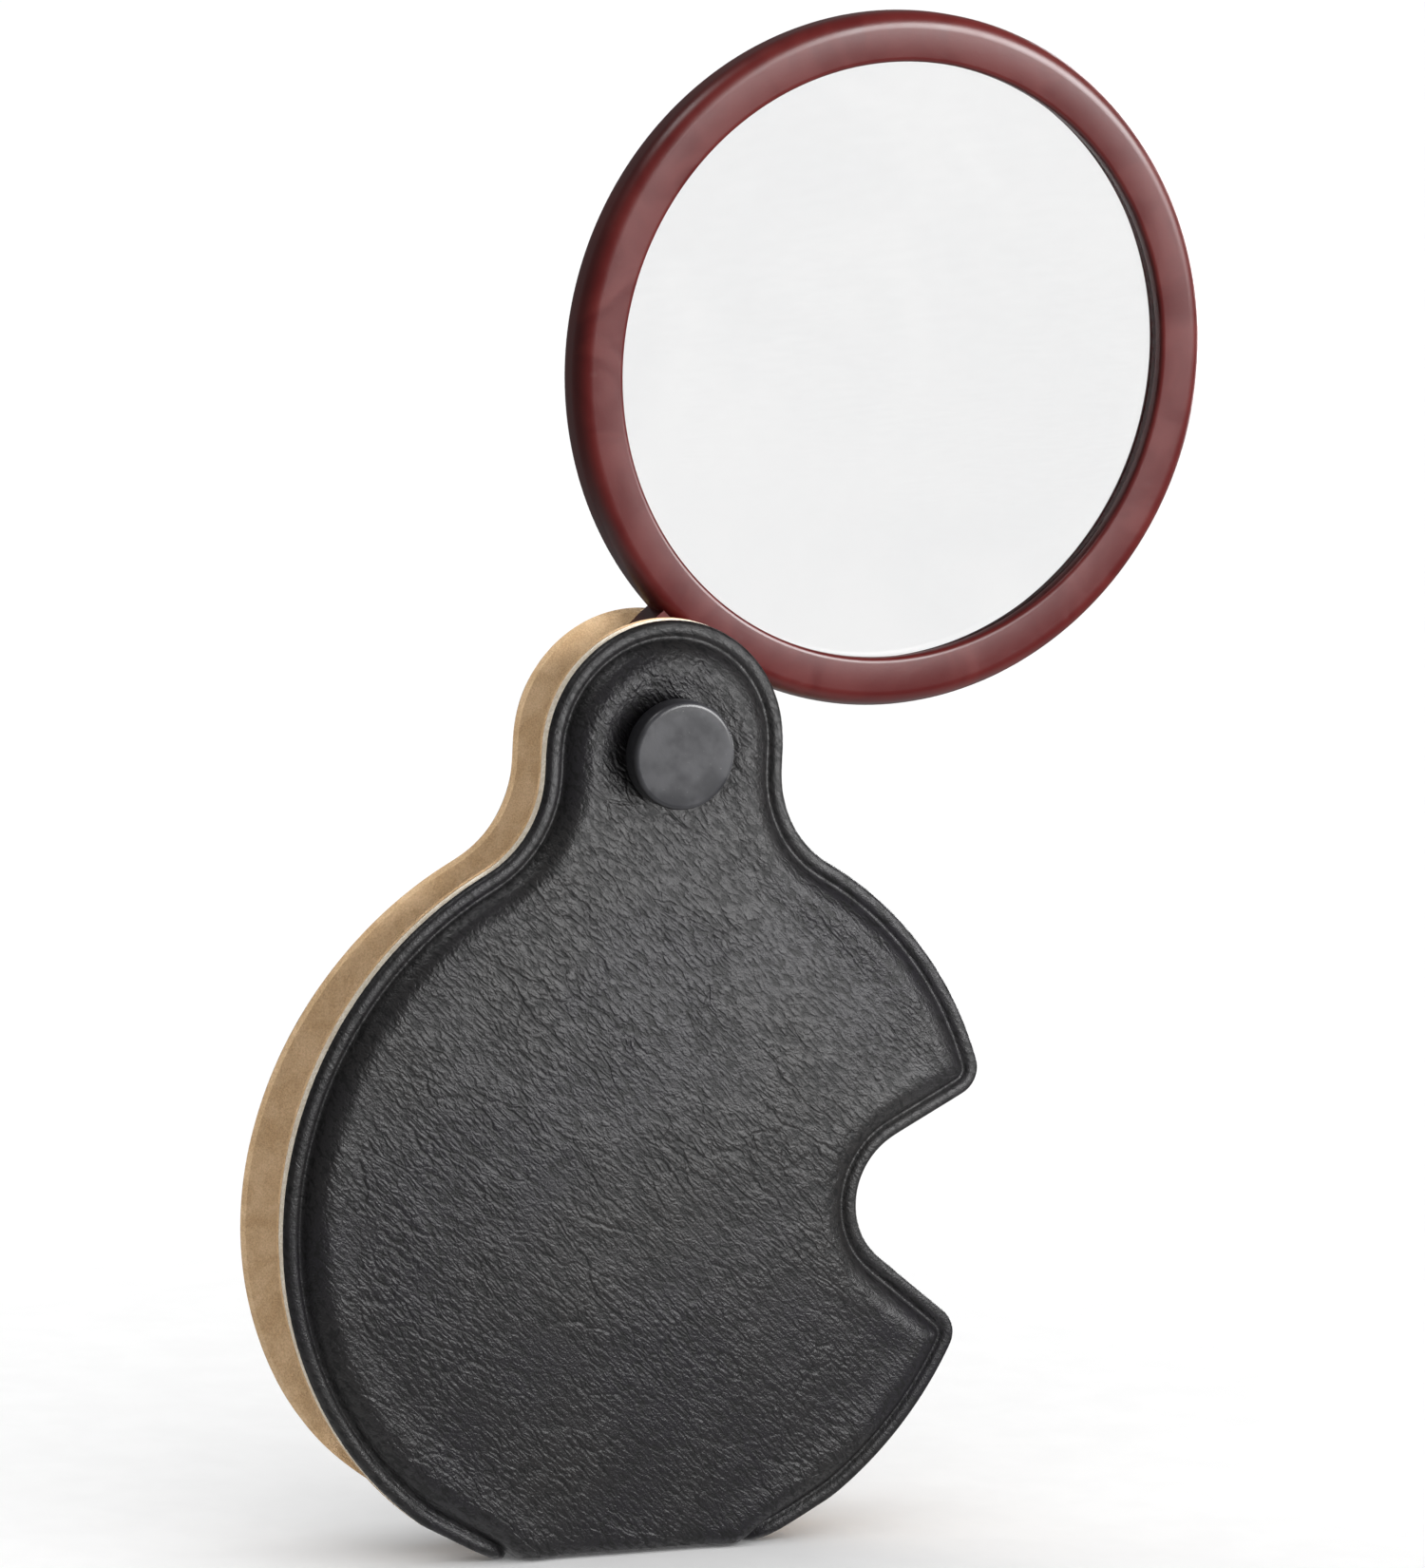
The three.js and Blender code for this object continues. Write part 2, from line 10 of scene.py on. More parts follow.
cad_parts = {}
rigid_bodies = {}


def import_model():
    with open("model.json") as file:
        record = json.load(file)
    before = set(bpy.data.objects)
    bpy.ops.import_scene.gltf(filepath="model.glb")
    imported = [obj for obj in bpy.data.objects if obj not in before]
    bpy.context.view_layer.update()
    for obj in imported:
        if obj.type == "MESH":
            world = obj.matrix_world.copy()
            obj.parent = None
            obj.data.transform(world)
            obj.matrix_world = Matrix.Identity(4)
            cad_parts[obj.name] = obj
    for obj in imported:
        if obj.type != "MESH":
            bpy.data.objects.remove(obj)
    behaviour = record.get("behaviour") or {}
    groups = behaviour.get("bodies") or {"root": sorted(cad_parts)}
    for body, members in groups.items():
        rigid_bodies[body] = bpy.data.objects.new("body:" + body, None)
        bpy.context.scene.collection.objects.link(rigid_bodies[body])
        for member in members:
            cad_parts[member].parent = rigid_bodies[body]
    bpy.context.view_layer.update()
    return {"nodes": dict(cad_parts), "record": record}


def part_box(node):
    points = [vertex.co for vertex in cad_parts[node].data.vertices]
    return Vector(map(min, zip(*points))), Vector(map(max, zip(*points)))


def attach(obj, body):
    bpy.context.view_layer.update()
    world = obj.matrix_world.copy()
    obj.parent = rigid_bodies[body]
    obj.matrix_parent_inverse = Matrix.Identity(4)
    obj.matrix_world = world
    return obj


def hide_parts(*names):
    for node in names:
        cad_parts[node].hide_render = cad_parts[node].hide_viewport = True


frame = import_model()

MM = 0.001

# ---- sizes in millimetres: the CAD model's own, unless a comment says otherwise ----

JOINT = frame["record"]["behaviour"]["joints"][0]
PIVOT_Z = JOINT["pos_m"][2] / MM
OPEN_ANGLE = math.radians(JOINT["range_deg"][1])   # the lens points straight up at the upper limit

BODY_RADIUS = 31.4
BODY_Z = -0.65
NECK_RADIUS = 10.4
SHOULDER_RADIUS = 9.0
NOTCH_RADIUS = 6.0
NOTCH = Vector((25.1, -1.3))
NOTCH_SLOPES = (math.radians(28), math.radians(-38))
NOTCH_LIP = 2.4

LINING = 0.4           # thickness of the suede
GLUE_GAP = 0.06        # between the leather and the layer inside it, in the fold
FOLD_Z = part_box("fold_leather")[0].z / MM
FOLD_INNER_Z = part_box("fold_lining")[0].z / MM + LINING
LEAF_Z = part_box("front_board")[0].z / MM
LEAF_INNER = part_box("front_lining")[1].y / MM * -1
LINING_OUTER = LEAF_INNER + LINING
BOARD_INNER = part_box("front_board")[1].y / MM * -1
BOARD_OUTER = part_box("front_board")[0].y / MM * -1
LEATHER_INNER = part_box("front_leather")[1].y / MM * -1
RIM_THICKNESS = 1.2    # of the leather at its flat rim
RIM_WIDTH = 1.9
PAD_RISE = 1.3         # height of the padded centre above the rim
PAD_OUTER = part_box("front_leather")[0].y / MM * -1
FOLD_CORNER = 1.2

REAR_BOW = 3.0         # how far the rear leaf bows away from the front one
BOW_PEAK_Z = -16.0
BOW_TOP_Z = 30.0
REAR_TRIM = 3.0        # how far each side of the rear leaf is cut back at the fold
TRIM_TOP_Z = -21.0
CREASE_HALF_WIDTH = 9.0    # left of this, at the fold, the rear leaf leans forward
CREASE_SPREAD = 2.6
CREASE_SLOPE = 0.42
CREASE_SOFTNESS = 0.5

LENS_RADIUS = 25.0
LENS_EDGE = 1.2
LENS_BULGE = 1.35
CLEAR_RADIUS = 24.2
FRAME_RADIUS = 28.2
FRAME_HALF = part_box("lens_frame")[1].y / MM
FRAME_FRONT_ROUND = 1.35   # the CAD model's is 1.7, as at the rear
FRAME_REAR_ROUND = 1.7
LIP_DEPTH = 1.0        # the lip that the glass rests against
GLASS_SEAT_RADIUS = 25.3
RING_SEAT_RADIUS = 26.2
RING_SEAT_Y = 0.85
RING_FOOT_Y = 0.98
TAB_ROOT_RADIUS = 27.0
TAB_ROOT_ANGLE = math.radians(11)
TAB_RADIUS = 6.6
TAB_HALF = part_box("pivot_bush")[1].y / MM
TAB_HOLE = 3.3

CAP_RADIUS = 4.4
CAP_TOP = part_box("rear_cap")[1].y / MM
CAP_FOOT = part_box("rear_cap")[0].y / MM
CAP_WALL = 0.4
CAP_BEVEL = 0.42

REAR_LEATHER_INSET = 0.7   # on the left edge only; the CAD model's is 0.45 all round
REAR_BOARD_INSET = 0.35    # on the left edge only; none in the CAD model
LEAF_HOLE = 2.4
SKIN = 0.7             # of the leather over a foam pad, before the crown and the dimple thin it
PAD_GAP = 0.1          # by which the leather's inside comes closer to the pad than the skin says
BODY_CROWN = 0.36      # fall of the padded face from the body's middle to its edge, in pad rises
NECK_CROWN = 0.25
NECK_FROM_Z, NECK_TO_Z = 25.0, 32.0
CAP_DIMPLE = 0.2
OUTLINE_STEP = 0.4

# ---- the main view and the light ----

CAMERA_YAW = math.radians(25.7)
CAMERA_ELEVATION = math.radians(9.5)
CAMERA_ROLL = math.radians(2.8)
CAMERA_DISTANCE = 0.652
SHOWN_WIDTH = 0.1156515    # of the plane through the object, in metres
SENSOR_WIDTH = 36
FLOOR_IRRADIANCE = 3.0
SKY_ANGLE = math.radians(120)
OBJECT_MIDDLE = (0.005, 0, 0.03)


# ---- small mesh helpers ----

def new_object(name, vertices, faces, smooth_angle=35, edge_distances=None):
    """A mesh object from points in millimetres, in the object's frame."""
    mesh = bpy.data.meshes.new(name)
    mesh.from_pydata([Vector(v) * MM for v in vertices], [], faces)
    if edge_distances:
        attribute = mesh.attributes.new("edge_distance", "FLOAT", "POINT")
        attribute.data.foreach_set("value", edge_distances)
    mesh.validate()
    piece = bpy.data.objects.new(name, mesh)
    bpy.context.scene.collection.objects.link(piece)
    face_outwards(piece)
    smooth(piece, smooth_angle)
    return piece


def face_outwards(piece):
    """Turns every face of a closed mesh outwards and merges doubled points."""
    bm = bmesh.new()
    bm.from_mesh(piece.data)
    bmesh.ops.remove_doubles(bm, verts=bm.verts, dist=1e-7)
    bmesh.ops.recalc_face_normals(bm, faces=bm.faces)
    bm.to_mesh(piece.data)
    bm.free()


def smooth(piece, angle):
    """Smooth shading that keeps edges sharper than angle, in degrees."""
    mesh = piece.data
    mesh.polygons.foreach_set("use_smooth", [True] * len(mesh.polygons))
    mesh.set_sharp_from_angle(angle=math.radians(angle))


def lathe(name, profile, segments, centre, body):
    """Turns a closed (radius, y) profile about the Y axis through centre (x, z)."""
    vertices = []
    for i in range(segments):
        turn = math.tau * i / segments
        for radius, y in profile:
            x, z = radius * math.cos(turn), radius * math.sin(turn)
            vertices.append((centre[0] + x, y, centre[1] + z))
    count = len(profile)
    faces = []
    for i in range(segments):
        here, there = i * count, (i + 1) % segments * count
        for k in range(count):
            after = (k + 1) % count
            faces.append((here + k, here + after, there + after, there + k))
    piece = new_object(name, vertices, faces, 40)
    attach(piece, body)
    return piece


def arc(centre, radius, start, end, step=OUTLINE_STEP):
    """Points along an arc, both ends included; angles in radians."""
    count = max(2, round(abs(end - start) * radius / step))
    turns = [start + (end - start) * i / count for i in range(count + 1)]
    return [Vector((centre[0] + radius * math.cos(t), centre[1] + radius * math.sin(t))) for t in turns]


def line(start, end, step=OUTLINE_STEP):
    """Points along a straight line, both ends included."""
    count = max(1, round((end - start).length / step))
    return [start.lerp(end, i / count) for i in range(count + 1)]


def smoothstep(x, low, high):
    """0 below low, 1 above high, and a smooth rise between them."""
    part = min(1.0, max(0.0, (x - low) / (high - low)))
    return part * part * (3 - 2 * part)


# ---- the case's outline ----

SHOULDER_X = NECK_RADIUS + SHOULDER_RADIUS
SHOULDER_REACH = BODY_RADIUS + SHOULDER_RADIUS
SHOULDER_Z = BODY_Z + math.sqrt(SHOULDER_REACH ** 2 - SHOULDER_X ** 2)
BODY = Vector((0, BODY_Z))


def half_width(z):
    """Half-width of the round body at height z."""
    return math.sqrt(max(0.0, BODY_RADIUS ** 2 - (z - BODY_Z) ** 2))


def notch_flank(side):
    """One straight flank of the thumb notch and the rounded lip beyond it; side is 1 above, -1 below."""
    slope = NOTCH_SLOPES[0] if side > 0 else NOTCH_SLOPES[1]
    along = Vector((math.cos(slope), math.sin(slope)))
    outward = Vector((-math.sin(slope), math.cos(slope))) * side
    start = NOTCH + outward * NOTCH_RADIUS
    base = start + outward * NOTCH_LIP - BODY
    reach = BODY_RADIUS - NOTCH_LIP
    b = base.dot(along)
    travel = -b + math.sqrt(b * b - base.length_squared + reach * reach)
    lip_centre = start + outward * NOTCH_LIP + along * travel
    flank_end = lip_centre - outward * NOTCH_LIP
    lip_end = lip_centre + (lip_centre - BODY).normalized() * NOTCH_LIP
    return start, flank_end, lip_centre, lip_end


def angle_of(point, centre):
    """Direction of point as seen from centre, in radians."""
    return math.atan2(point.y - centre.y, point.x - centre.x)


def side_path(notched):
    """The right edge of a leaf as (x, z) points, from the top of the neck down to the leaf's bottom."""
    shoulder = Vector((SHOULDER_X, SHOULDER_Z))
    points = arc((0, PIVOT_Z), NECK_RADIUS, math.pi / 2, 0)
    points += line(Vector((NECK_RADIUS, PIVOT_Z)), Vector((NECK_RADIUS, SHOULDER_Z)))
    points += arc(shoulder, SHOULDER_RADIUS, math.pi, math.tau + angle_of(BODY, shoulder))
    top = angle_of(shoulder, BODY)
    bottom = math.asin((LEAF_Z - BODY_Z) / BODY_RADIUS)
    if not notched:
        points += arc(BODY, BODY_RADIUS, top, bottom)
    else:
        start, flank_end, lip, lip_end = notch_flank(1)
        points += arc(BODY, BODY_RADIUS, top, angle_of(lip_end, BODY))
        points += arc(lip, NOTCH_LIP, angle_of(lip_end, lip), angle_of(flank_end, lip), OUTLINE_STEP / 2)
        points += line(flank_end, start)
        low_start, low_flank_end, low_lip, low_lip_end = notch_flank(-1)
        points += arc(NOTCH, NOTCH_RADIUS, angle_of(start, NOTCH), math.tau + angle_of(low_start, NOTCH))
        points += line(low_start, low_flank_end)
        points += arc(low_lip, NOTCH_LIP, angle_of(low_flank_end, low_lip), angle_of(low_lip_end, low_lip),
                      OUTLINE_STEP / 2)
        points += arc(BODY, BODY_RADIUS, angle_of(low_lip_end, BODY), bottom)
    return without_doubles(points)


def without_doubles(points):
    """The points without those that lie almost on the one before."""
    kept = [points[0]]
    for point in points[1:]:
        if (point - kept[-1]).length > OUTLINE_STEP / 5:
            kept.append(point)
    return kept


# ---- the folded sheet ----
#
# The leather and the suede are each one sheet, folded at the case's bottom. A point of the sheet is
# (x, s): s is the distance from the middle of the fold, up the front leaf where it is positive and up
# the rear leaf where it is negative.

def trim(z):
    """How far each side of the rear leaf is cut back at height z."""
    return REAR_TRIM * smoothstep(-z, -TRIM_TOP_Z, -FOLD_Z)


def bow(z):
    """How far the rear leaf stands off from flat at height z."""
    span = (LEAF_Z if z < BOW_PEAK_Z else BOW_TOP_Z) - BOW_PEAK_Z
    return REAR_BOW * (1 + math.cos(math.pi * min(1.0, (z - BOW_PEAK_Z) / span))) / 2


def pinch(x, z):
    """How far the rear leaf's lower left corner leans forward at (x, z)."""
    past = -x - CREASE_HALF_WIDTH - CREASE_SPREAD * max(0.0, z - LEAF_Z)
    return CREASE_SLOPE * (past + math.hypot(past, CREASE_SOFTNESS)) / 2


def boxed_path(half_depth, bottom, corner):
    """The fold's outside in the (y, z) plane: down the front, across the bottom and up the rear."""
    path = [Vector((-half_depth, LEAF_Z))]
    path += arc((-half_depth + corner, bottom + corner), corner, math.pi, 1.5 * math.pi, 0.1)
    path += arc((half_depth - corner, bottom + corner), corner, 1.5 * math.pi, math.tau, 0.1)
    return path + [Vector((half_depth, LEAF_Z))]


def oval_path(half_depth, bottom):
    """The fold's inside in the (y, z) plane: half an ellipse."""
    turns = [math.pi * (1 + i / 40) for i in range(41)]
    return [Vector((half_depth * math.cos(t), LEAF_Z + (LEAF_Z - bottom) * math.sin(t))) for t in turns]


def along_path(path, part):
    """The point at part, from 0 to 1, of a path's length."""
    lengths = [(b - a).length for a, b in zip(path, path[1:])]
    left = part * sum(lengths)
    for a, b, length in zip(path, path[1:], lengths):
        if left <= length:
            return a.lerp(b, left / length)
        left -= length
    return path[-1]


class Layer:
    """Surfaces stacked outward from the sheet's inside, each with a flat depth and a path round the fold."""

    def __init__(self, depths, paths):
        self.depths = depths
        self.paths = paths
        self.half_fold = FOLD_LENGTH / 2

    def point(self, x, s, level):
        """The point at (x, s), where level 0 is the inside surface, 1 the next one, and so on."""
        low = min(int(level), len(self.depths) - 2)
        share = level - low
        if abs(s) > self.half_fold:
            z = LEAF_Z + abs(s) - self.half_fold
            y = self.depths[low] + (self.depths[low + 1] - self.depths[low]) * share
            if s > 0:
                return Vector((x, -y, z))
            return Vector((x, y + bow(z) - pinch(x, z), z))
        part = (self.half_fold - s) / (2 * self.half_fold)
        spot = along_path(self.paths[low], part).lerp(along_path(self.paths[low + 1], part), share)
        towards_rear = min(1.0, max(0.0, (spot.x + LEAF_INNER) / (2 * LEAF_INNER)))
        return Vector((x, spot.x - towards_rear * pinch(x, spot.y), spot.y))


RIM_PATH = boxed_path(LEATHER_INNER + RIM_THICKNESS, FOLD_Z, FOLD_CORNER)
FOLD_LENGTH = sum((b - a).length for a, b in zip(RIM_PATH, RIM_PATH[1:]))


def fold_edge(side):
    """The right edge of the fold as (x, s) points from the front leaf to the rear one."""
    count = round(FOLD_LENGTH / OUTLINE_STEP)
    points = []
    for i in range(1, count):
        part = i / count
        spot = along_path(RIM_PATH, part)
        towards_rear = (spot.x + PAD_OUTER) / (2 * PAD_OUTER)
        x = half_width(max(spot.y, FOLD_Z)) - trim(spot.y) * towards_rear
        points.append(Vector((side * x, FOLD_LENGTH / 2 - part * FOLD_LENGTH)))
    return points


def sheet_outline():
    """The whole sheet's outline, laid flat, as a closed loop of (x, s) points."""
    half_fold = FOLD_LENGTH / 2
    loop = []
    for side in (1, -1):
        path = side_path(side > 0)
        front = [Vector((side * p.x, p.y - LEAF_Z + half_fold)) for p in path]
        rear = [Vector((side * (p.x - trim(p.y)), LEAF_Z - p.y - half_fold)) for p in path]
        edge = front + fold_edge(side) + rear[::-1]
        loop += edge if side > 0 else edge[::-1]
    return relaxed(closed_without_doubles(loop))


def cut_back(loop, inset):
    """The loop with its rear leaf's left edge moved inward by inset, fading out at the fold."""
    half_fold = FOLD_LENGTH / 2
    moved = []
    for p, n in zip(loop, inward_normals(loop)):
        share = smoothstep(-p.y, half_fold, half_fold + 4) * (1 - smoothstep(p.x, 1, 9))
        moved.append(p + n * inset * share)
    return moved


def closed_without_doubles(loop):
    """A closed loop's points without those that lie almost on the one before."""
    kept = without_doubles(loop)
    while (kept[0] - kept[-1]).length < OUTLINE_STEP / 5:
        kept.pop()
    return kept


def relaxed(loop):
    """The loop with its corners slightly rounded, as a cut edge is."""
    for _ in range(3):
        loop = [(loop[i - 1] + loop[i] * 2 + loop[(i + 1) % len(loop)]) / 4 for i in range(len(loop))]
    return loop


def leaf_outline(side):
    """One leaf's outline as (x, s) points, closed along a straight line at the leaf's bottom."""
    half_fold = FOLD_LENGTH / 2
    right = side_path(True)
    left = side_path(False)
    cut = (lambda z: 0.0) if side < 0 else trim
    loop = [Vector((p.x - cut(p.y), p.y)) for p in right]
    loop += line(loop[-1], Vector((-loop[-1].x, loop[-1].y)))[1:-1]
    loop += [Vector((cut(p.y) - p.x, p.y)) for p in left[::-1]]
    loop = closed_without_doubles(loop)
    return [Vector((p.x, -side * (p.y - LEAF_Z + half_fold))) for p in loop]


def inward_normals(loop):
    """The inward direction at each point of a closed loop."""
    area = sum(a.x * b.y - b.x * a.y for a, b in zip(loop, loop[1:] + loop[:1]))
    turn = 1 if area > 0 else -1
    normals = []
    for i in range(len(loop)):
        tangent = (loop[(i + 1) % len(loop)] - loop[i - 1]).normalized()
        normals.append(Vector((-tangent.y, tangent.x)) * turn)
    return normals


def build_sheet(name, loop, layer, rings, inside_level, back_level, spacing, lift=None):
    """A closed solid of one layer. rings are (distance from the edge, level) steps in from the edge.

    inside_level and back_level give the level of the outer and the inner surface, spacing is that of
    the points inside, and lift adds to a point's level.
    """
    normals = inward_normals(loop)
    count = len(loop)
    edge_tree = KDTree(count)
    for i, p in enumerate(loop):
        edge_tree.insert((p.x, p.y, 0), i)
    edge_tree.balance()

    def distance(p):
        return edge_tree.find((p.x, p.y, 0))[2]

    depth = rings[-1][0]
    last_ring = [p + n * depth for p, n in zip(loop, normals)]
    holes = rivet_holes(loop)
    flat, triangles = filled(last_ring, holes, distance, depth, spacing)
    front, back = [], []
    vertices, insets = [], []
    for inset, level in rings:
        row = []
        for p, n in zip(loop, normals):
            spot = p + n * inset
            row.append(len(vertices))
            extra = lift(spot, inset) if lift and inset > 0 else 0.0
            vertices.append(layer.point(spot.x, spot.y, level + extra))
            insets.append(inset)
        front.append(row)
    edge_row = front[0]
    inner_front = list(front[-1])
    for spot in flat[count:]:
        inner_front.append(len(vertices))
        d = distance(spot)
        extra = lift(spot, d) if lift else 0.0
        vertices.append(layer.point(spot.x, spot.y, inside_level(d) + extra))
        insets.append(d)
    for i, spot in enumerate(flat):
        back.append(len(vertices))
        vertices.append(layer.point(spot.x, spot.y, back_level(spot, distance(spot))))
        insets.append(0.0)
    faces = []
    for outer, inner in zip(front, front[1:]):
        for i in range(count):
            j = (i + 1) % count
            faces.append((outer[i], outer[j], inner[j], inner[i]))
    for a, b, c in triangles:
        faces.append((inner_front[a], inner_front[b], inner_front[c]))
        faces.append((back[c], back[b], back[a]))
    for i in range(count):
        j = (i + 1) % count
        faces.append((edge_row[j], edge_row[i], back[i], back[j]))
    start = count
    for hole in holes:
        for i in range(len(hole)):
            a, b = start + i, start + (i + 1) % len(hole)
            faces.append((inner_front[a], inner_front[b], back[b], back[a]))
        start += len(hole)
    return new_object(name, vertices, faces, 50, insets)


def rivet_holes(loop):
    """The rivet's round hole in each leaf that the loop covers."""
    reach = PIVOT_Z - LEAF_Z + FOLD_LENGTH / 2
    sides = [s for s in (reach, -reach) if min(p.y for p in loop) < s < max(p.y for p in loop)]
    turns = [math.tau * i / 36 for i in range(36)]
    return [[Vector((LEAF_HOLE * math.cos(t), s + LEAF_HOLE * math.sin(t))) for t in turns] for s in sides]


def filled(loop, holes, distance, depth, spacing):
    """Points and triangles that fill a loop: its own points, its holes' points, then a staggered grid."""
    low_x, high_x = min(p.x for p in loop), max(p.x for p in loop)
    low_s, high_s = min(p.y for p in loop), max(p.y for p in loop)
    points = list(loop)
    edges = []
    for hole in holes:
        first, size = len(points), len(hole)
        points += hole
        edges += [(first + i, first + (i + 1) % size) for i in range(size)]
    middles = [sum(hole, Vector((0, 0))) / len(hole) for hole in holes]

    def in_hole(spot, margin=0.0):
        return any((spot - middle).length < LEAF_HOLE + margin for middle in middles)

    row = 0
    s = low_s + spacing / 2
    while s < high_s:
        x = low_x + spacing * (0.5 if row % 2 else 1.0)
        while x < high_x:
            spot = Vector((x, s))
            clear = distance(spot) > depth + spacing * 0.6 and not in_hole(spot, spacing * 0.4)
            if clear and is_inside(spot, loop):
                points.append(spot)
            x += spacing
        s += spacing * 0.866
        row += 1
    _, _, triangles, sources, _, _ = delaunay_2d_cdt(points, edges, [list(range(len(loop)))], 1, 1e-7)
    own = [old[0] for old in sources]
    kept = []
    for triangle in triangles:
        corners = tuple(own[i] for i in triangle)
        middle = sum((points[i] for i in corners), Vector((0, 0))) / 3
        if not in_hole(middle):
            kept.append(corners)
    return points, kept


def is_inside(spot, loop):
    """Whether a point lies inside a closed loop."""
    inside = False
    x, y = spot
    ax, ay = loop[-1]
    for bx, by in loop:
        if (ay > y) != (by > y) and x < (bx - ax) * (y - ay) / (by - ay) + ax:
            inside = not inside
        ax, ay = bx, by
    return inside


# ---- the case ----

def pivot_distance(spot):
    """Distance from the rivet's axis of a point of the sheet, on either leaf."""
    return math.hypot(spot.x, LEAF_Z + abs(spot.y) - FOLD_LENGTH / 2 - PIVOT_Z)


LEATHER_RINGS = [
    (0.0, 0.55), (0.02, 0.72), (0.09, 0.88), (0.2, 0.97), (0.34, 1.01), (0.6, 1.03), (0.82, 1.01),
    (0.98, 0.96), (1.12, 0.87), (1.24, 0.79), (1.36, 0.76), (1.5, 0.81), (1.64, 0.95), (1.8, 1.15),
    (2.0, 1.37), (2.26, 1.54),
]


def leather_level(distance):
    """Level of the padded centre: a soft shoulder that nears its full height 4 mm in from the edge."""
    start, level = LEATHER_RINGS[-1]
    return level + (2 - level) * (1 - math.exp(-(distance - start) / 0.55))


def leather_back(spot, distance):
    """Level of the leather's inner surface, which is hollow over each foam pad."""
    hollow = smoothstep(distance, RIM_WIDTH + SKIN - 0.2, RIM_WIDTH + SKIN)
    clear_of_fold = smoothstep(abs(spot.y), FOLD_LENGTH / 2 + SKIN - 0.2, FOLD_LENGTH / 2 + SKIN)
    return (2 - (SKIN + PAD_GAP) / PAD_RISE) * min(hollow, clear_of_fold)


def leather_lift(spot, distance):
    """Change of level over the padded face: its unevenness, its crown and the dimple under the cap."""
    at = Vector((spot.x / 14, spot.y / 9, 3.1))
    wave = noise.noise(at) * 0.5 + noise.noise(at * 2.7) * 0.22
    inner = smoothstep(distance, 2.2, 6.0)
    dimple = 1 - smoothstep(pivot_distance(spot), CAP_RADIUS - 0.4, CAP_RADIUS + 2.2)
    z = LEAF_Z + abs(spot.y) - FOLD_LENGTH / 2
    away = math.hypot(spot.x, z - BODY_Z) / BODY_RADIUS
    crown = (NECK_CROWN - BODY_CROWN) * smoothstep(z, NECK_FROM_Z, NECK_TO_Z) + BODY_CROWN
    sunk = -crown * min(1.0, away) ** 2
    return (wave * 0.05 - 0.03 + sunk) * inner - CAP_DIMPLE * dimple * smoothstep(distance, 2.0, 4.0)


def make_leather(outline):
    """The whole outside of the case, padded on both leaves."""
    outline = cut_back(outline, REAR_LEATHER_INSET)
    inside = oval_path(LEATHER_INNER, FOLD_INNER_Z - LINING - GLUE_GAP)
    outside = boxed_path(PAD_OUTER, FOLD_Z, FOLD_CORNER)
    layer = Layer([LEATHER_INNER, LEATHER_INNER + RIM_THICKNESS, PAD_OUTER], [inside, RIM_PATH, outside])
    skin = build_sheet("case_leather", outline, layer, LEATHER_RINGS, leather_level, leather_back, 0.75,
                       leather_lift)
    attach(skin, "case")
    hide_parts("front_leather", "rear_leather", "fold_leather")
    paint(skin, leather_material())


def make_lining(outline):
    """The suede inside both leaves, cut from the whole sheet's outline."""
    layer = Layer([LEAF_INNER, LINING_OUTER],
                  [oval_path(LEAF_INNER, FOLD_INNER_Z), oval_path(LINING_OUTER, FOLD_INNER_Z - LINING)])
    suede = build_sheet("suede_lining", outline, layer, [(0.0, 1.0), (0.3, 1.0)], lambda d: 1.0,
                        lambda spot, d: 0.0, 1.4)
    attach(suede, "case")
    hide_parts("front_lining", "rear_lining", "fold_lining")
    paint(suede, suede_material())


def make_board(side):
    """The stiff board of one leaf; side is 1 for the rear one, -1 for the front one."""
    name = "rear" if side > 0 else "front"
    layer = Layer([BOARD_INNER, BOARD_OUTER],
                  [oval_path(depth, FOLD_INNER_Z - LINING) for depth in (BOARD_INNER, BOARD_OUTER)])
    outline = cut_back(leaf_outline(side), REAR_BOARD_INSET)
    board = build_sheet(f"{name}_board_edge", outline, layer, [(0.0, 1.0), (0.15, 1.0)],
                        lambda d: 1.0, lambda spot, d: 0.0, 2.5)
    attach(board, "case")
    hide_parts(f"{name}_board")
    paint(board, board_material())


# ---- the lens ----

LENS = (PIVOT_Z * math.sin(OPEN_ANGLE), PIVOT_Z + PIVOT_Z * math.cos(OPEN_ANGLE))


def make_frame_ring():
    """The round part of the frame: a lip in front, the glass's seat and the retaining ring's wider one."""
    half = FRAME_HALF
    profile = [(CLEAR_RADIUS, -half + 0.32), (CLEAR_RADIUS + 0.07, -half + 0.14),
               (CLEAR_RADIUS + 0.24, -half + 0.03), (CLEAR_RADIUS + 0.42, -half)]
    for turn, rounding in ((-1, FRAME_FRONT_ROUND), (1, FRAME_REAR_ROUND)):
        centre, edge = FRAME_RADIUS - rounding, half - rounding
        for i in range(11):
            part = i / 10 if turn > 0 else 1 - i / 10
            angle = math.pi / 2 * part
            y = turn * (edge + rounding * math.sin(angle))
            profile.append((centre + rounding * math.cos(angle), y))
    profile += [(RING_SEAT_RADIUS + 0.1, half), (RING_SEAT_RADIUS, half - 0.1),
                (RING_SEAT_RADIUS, RING_SEAT_Y), (GLASS_SEAT_RADIUS, RING_SEAT_Y),
                (GLASS_SEAT_RADIUS, -half + LIP_DEPTH), (CLEAR_RADIUS, -half + LIP_DEPTH)]
    return lathe("lens_ring", profile, 240, LENS, "lens")


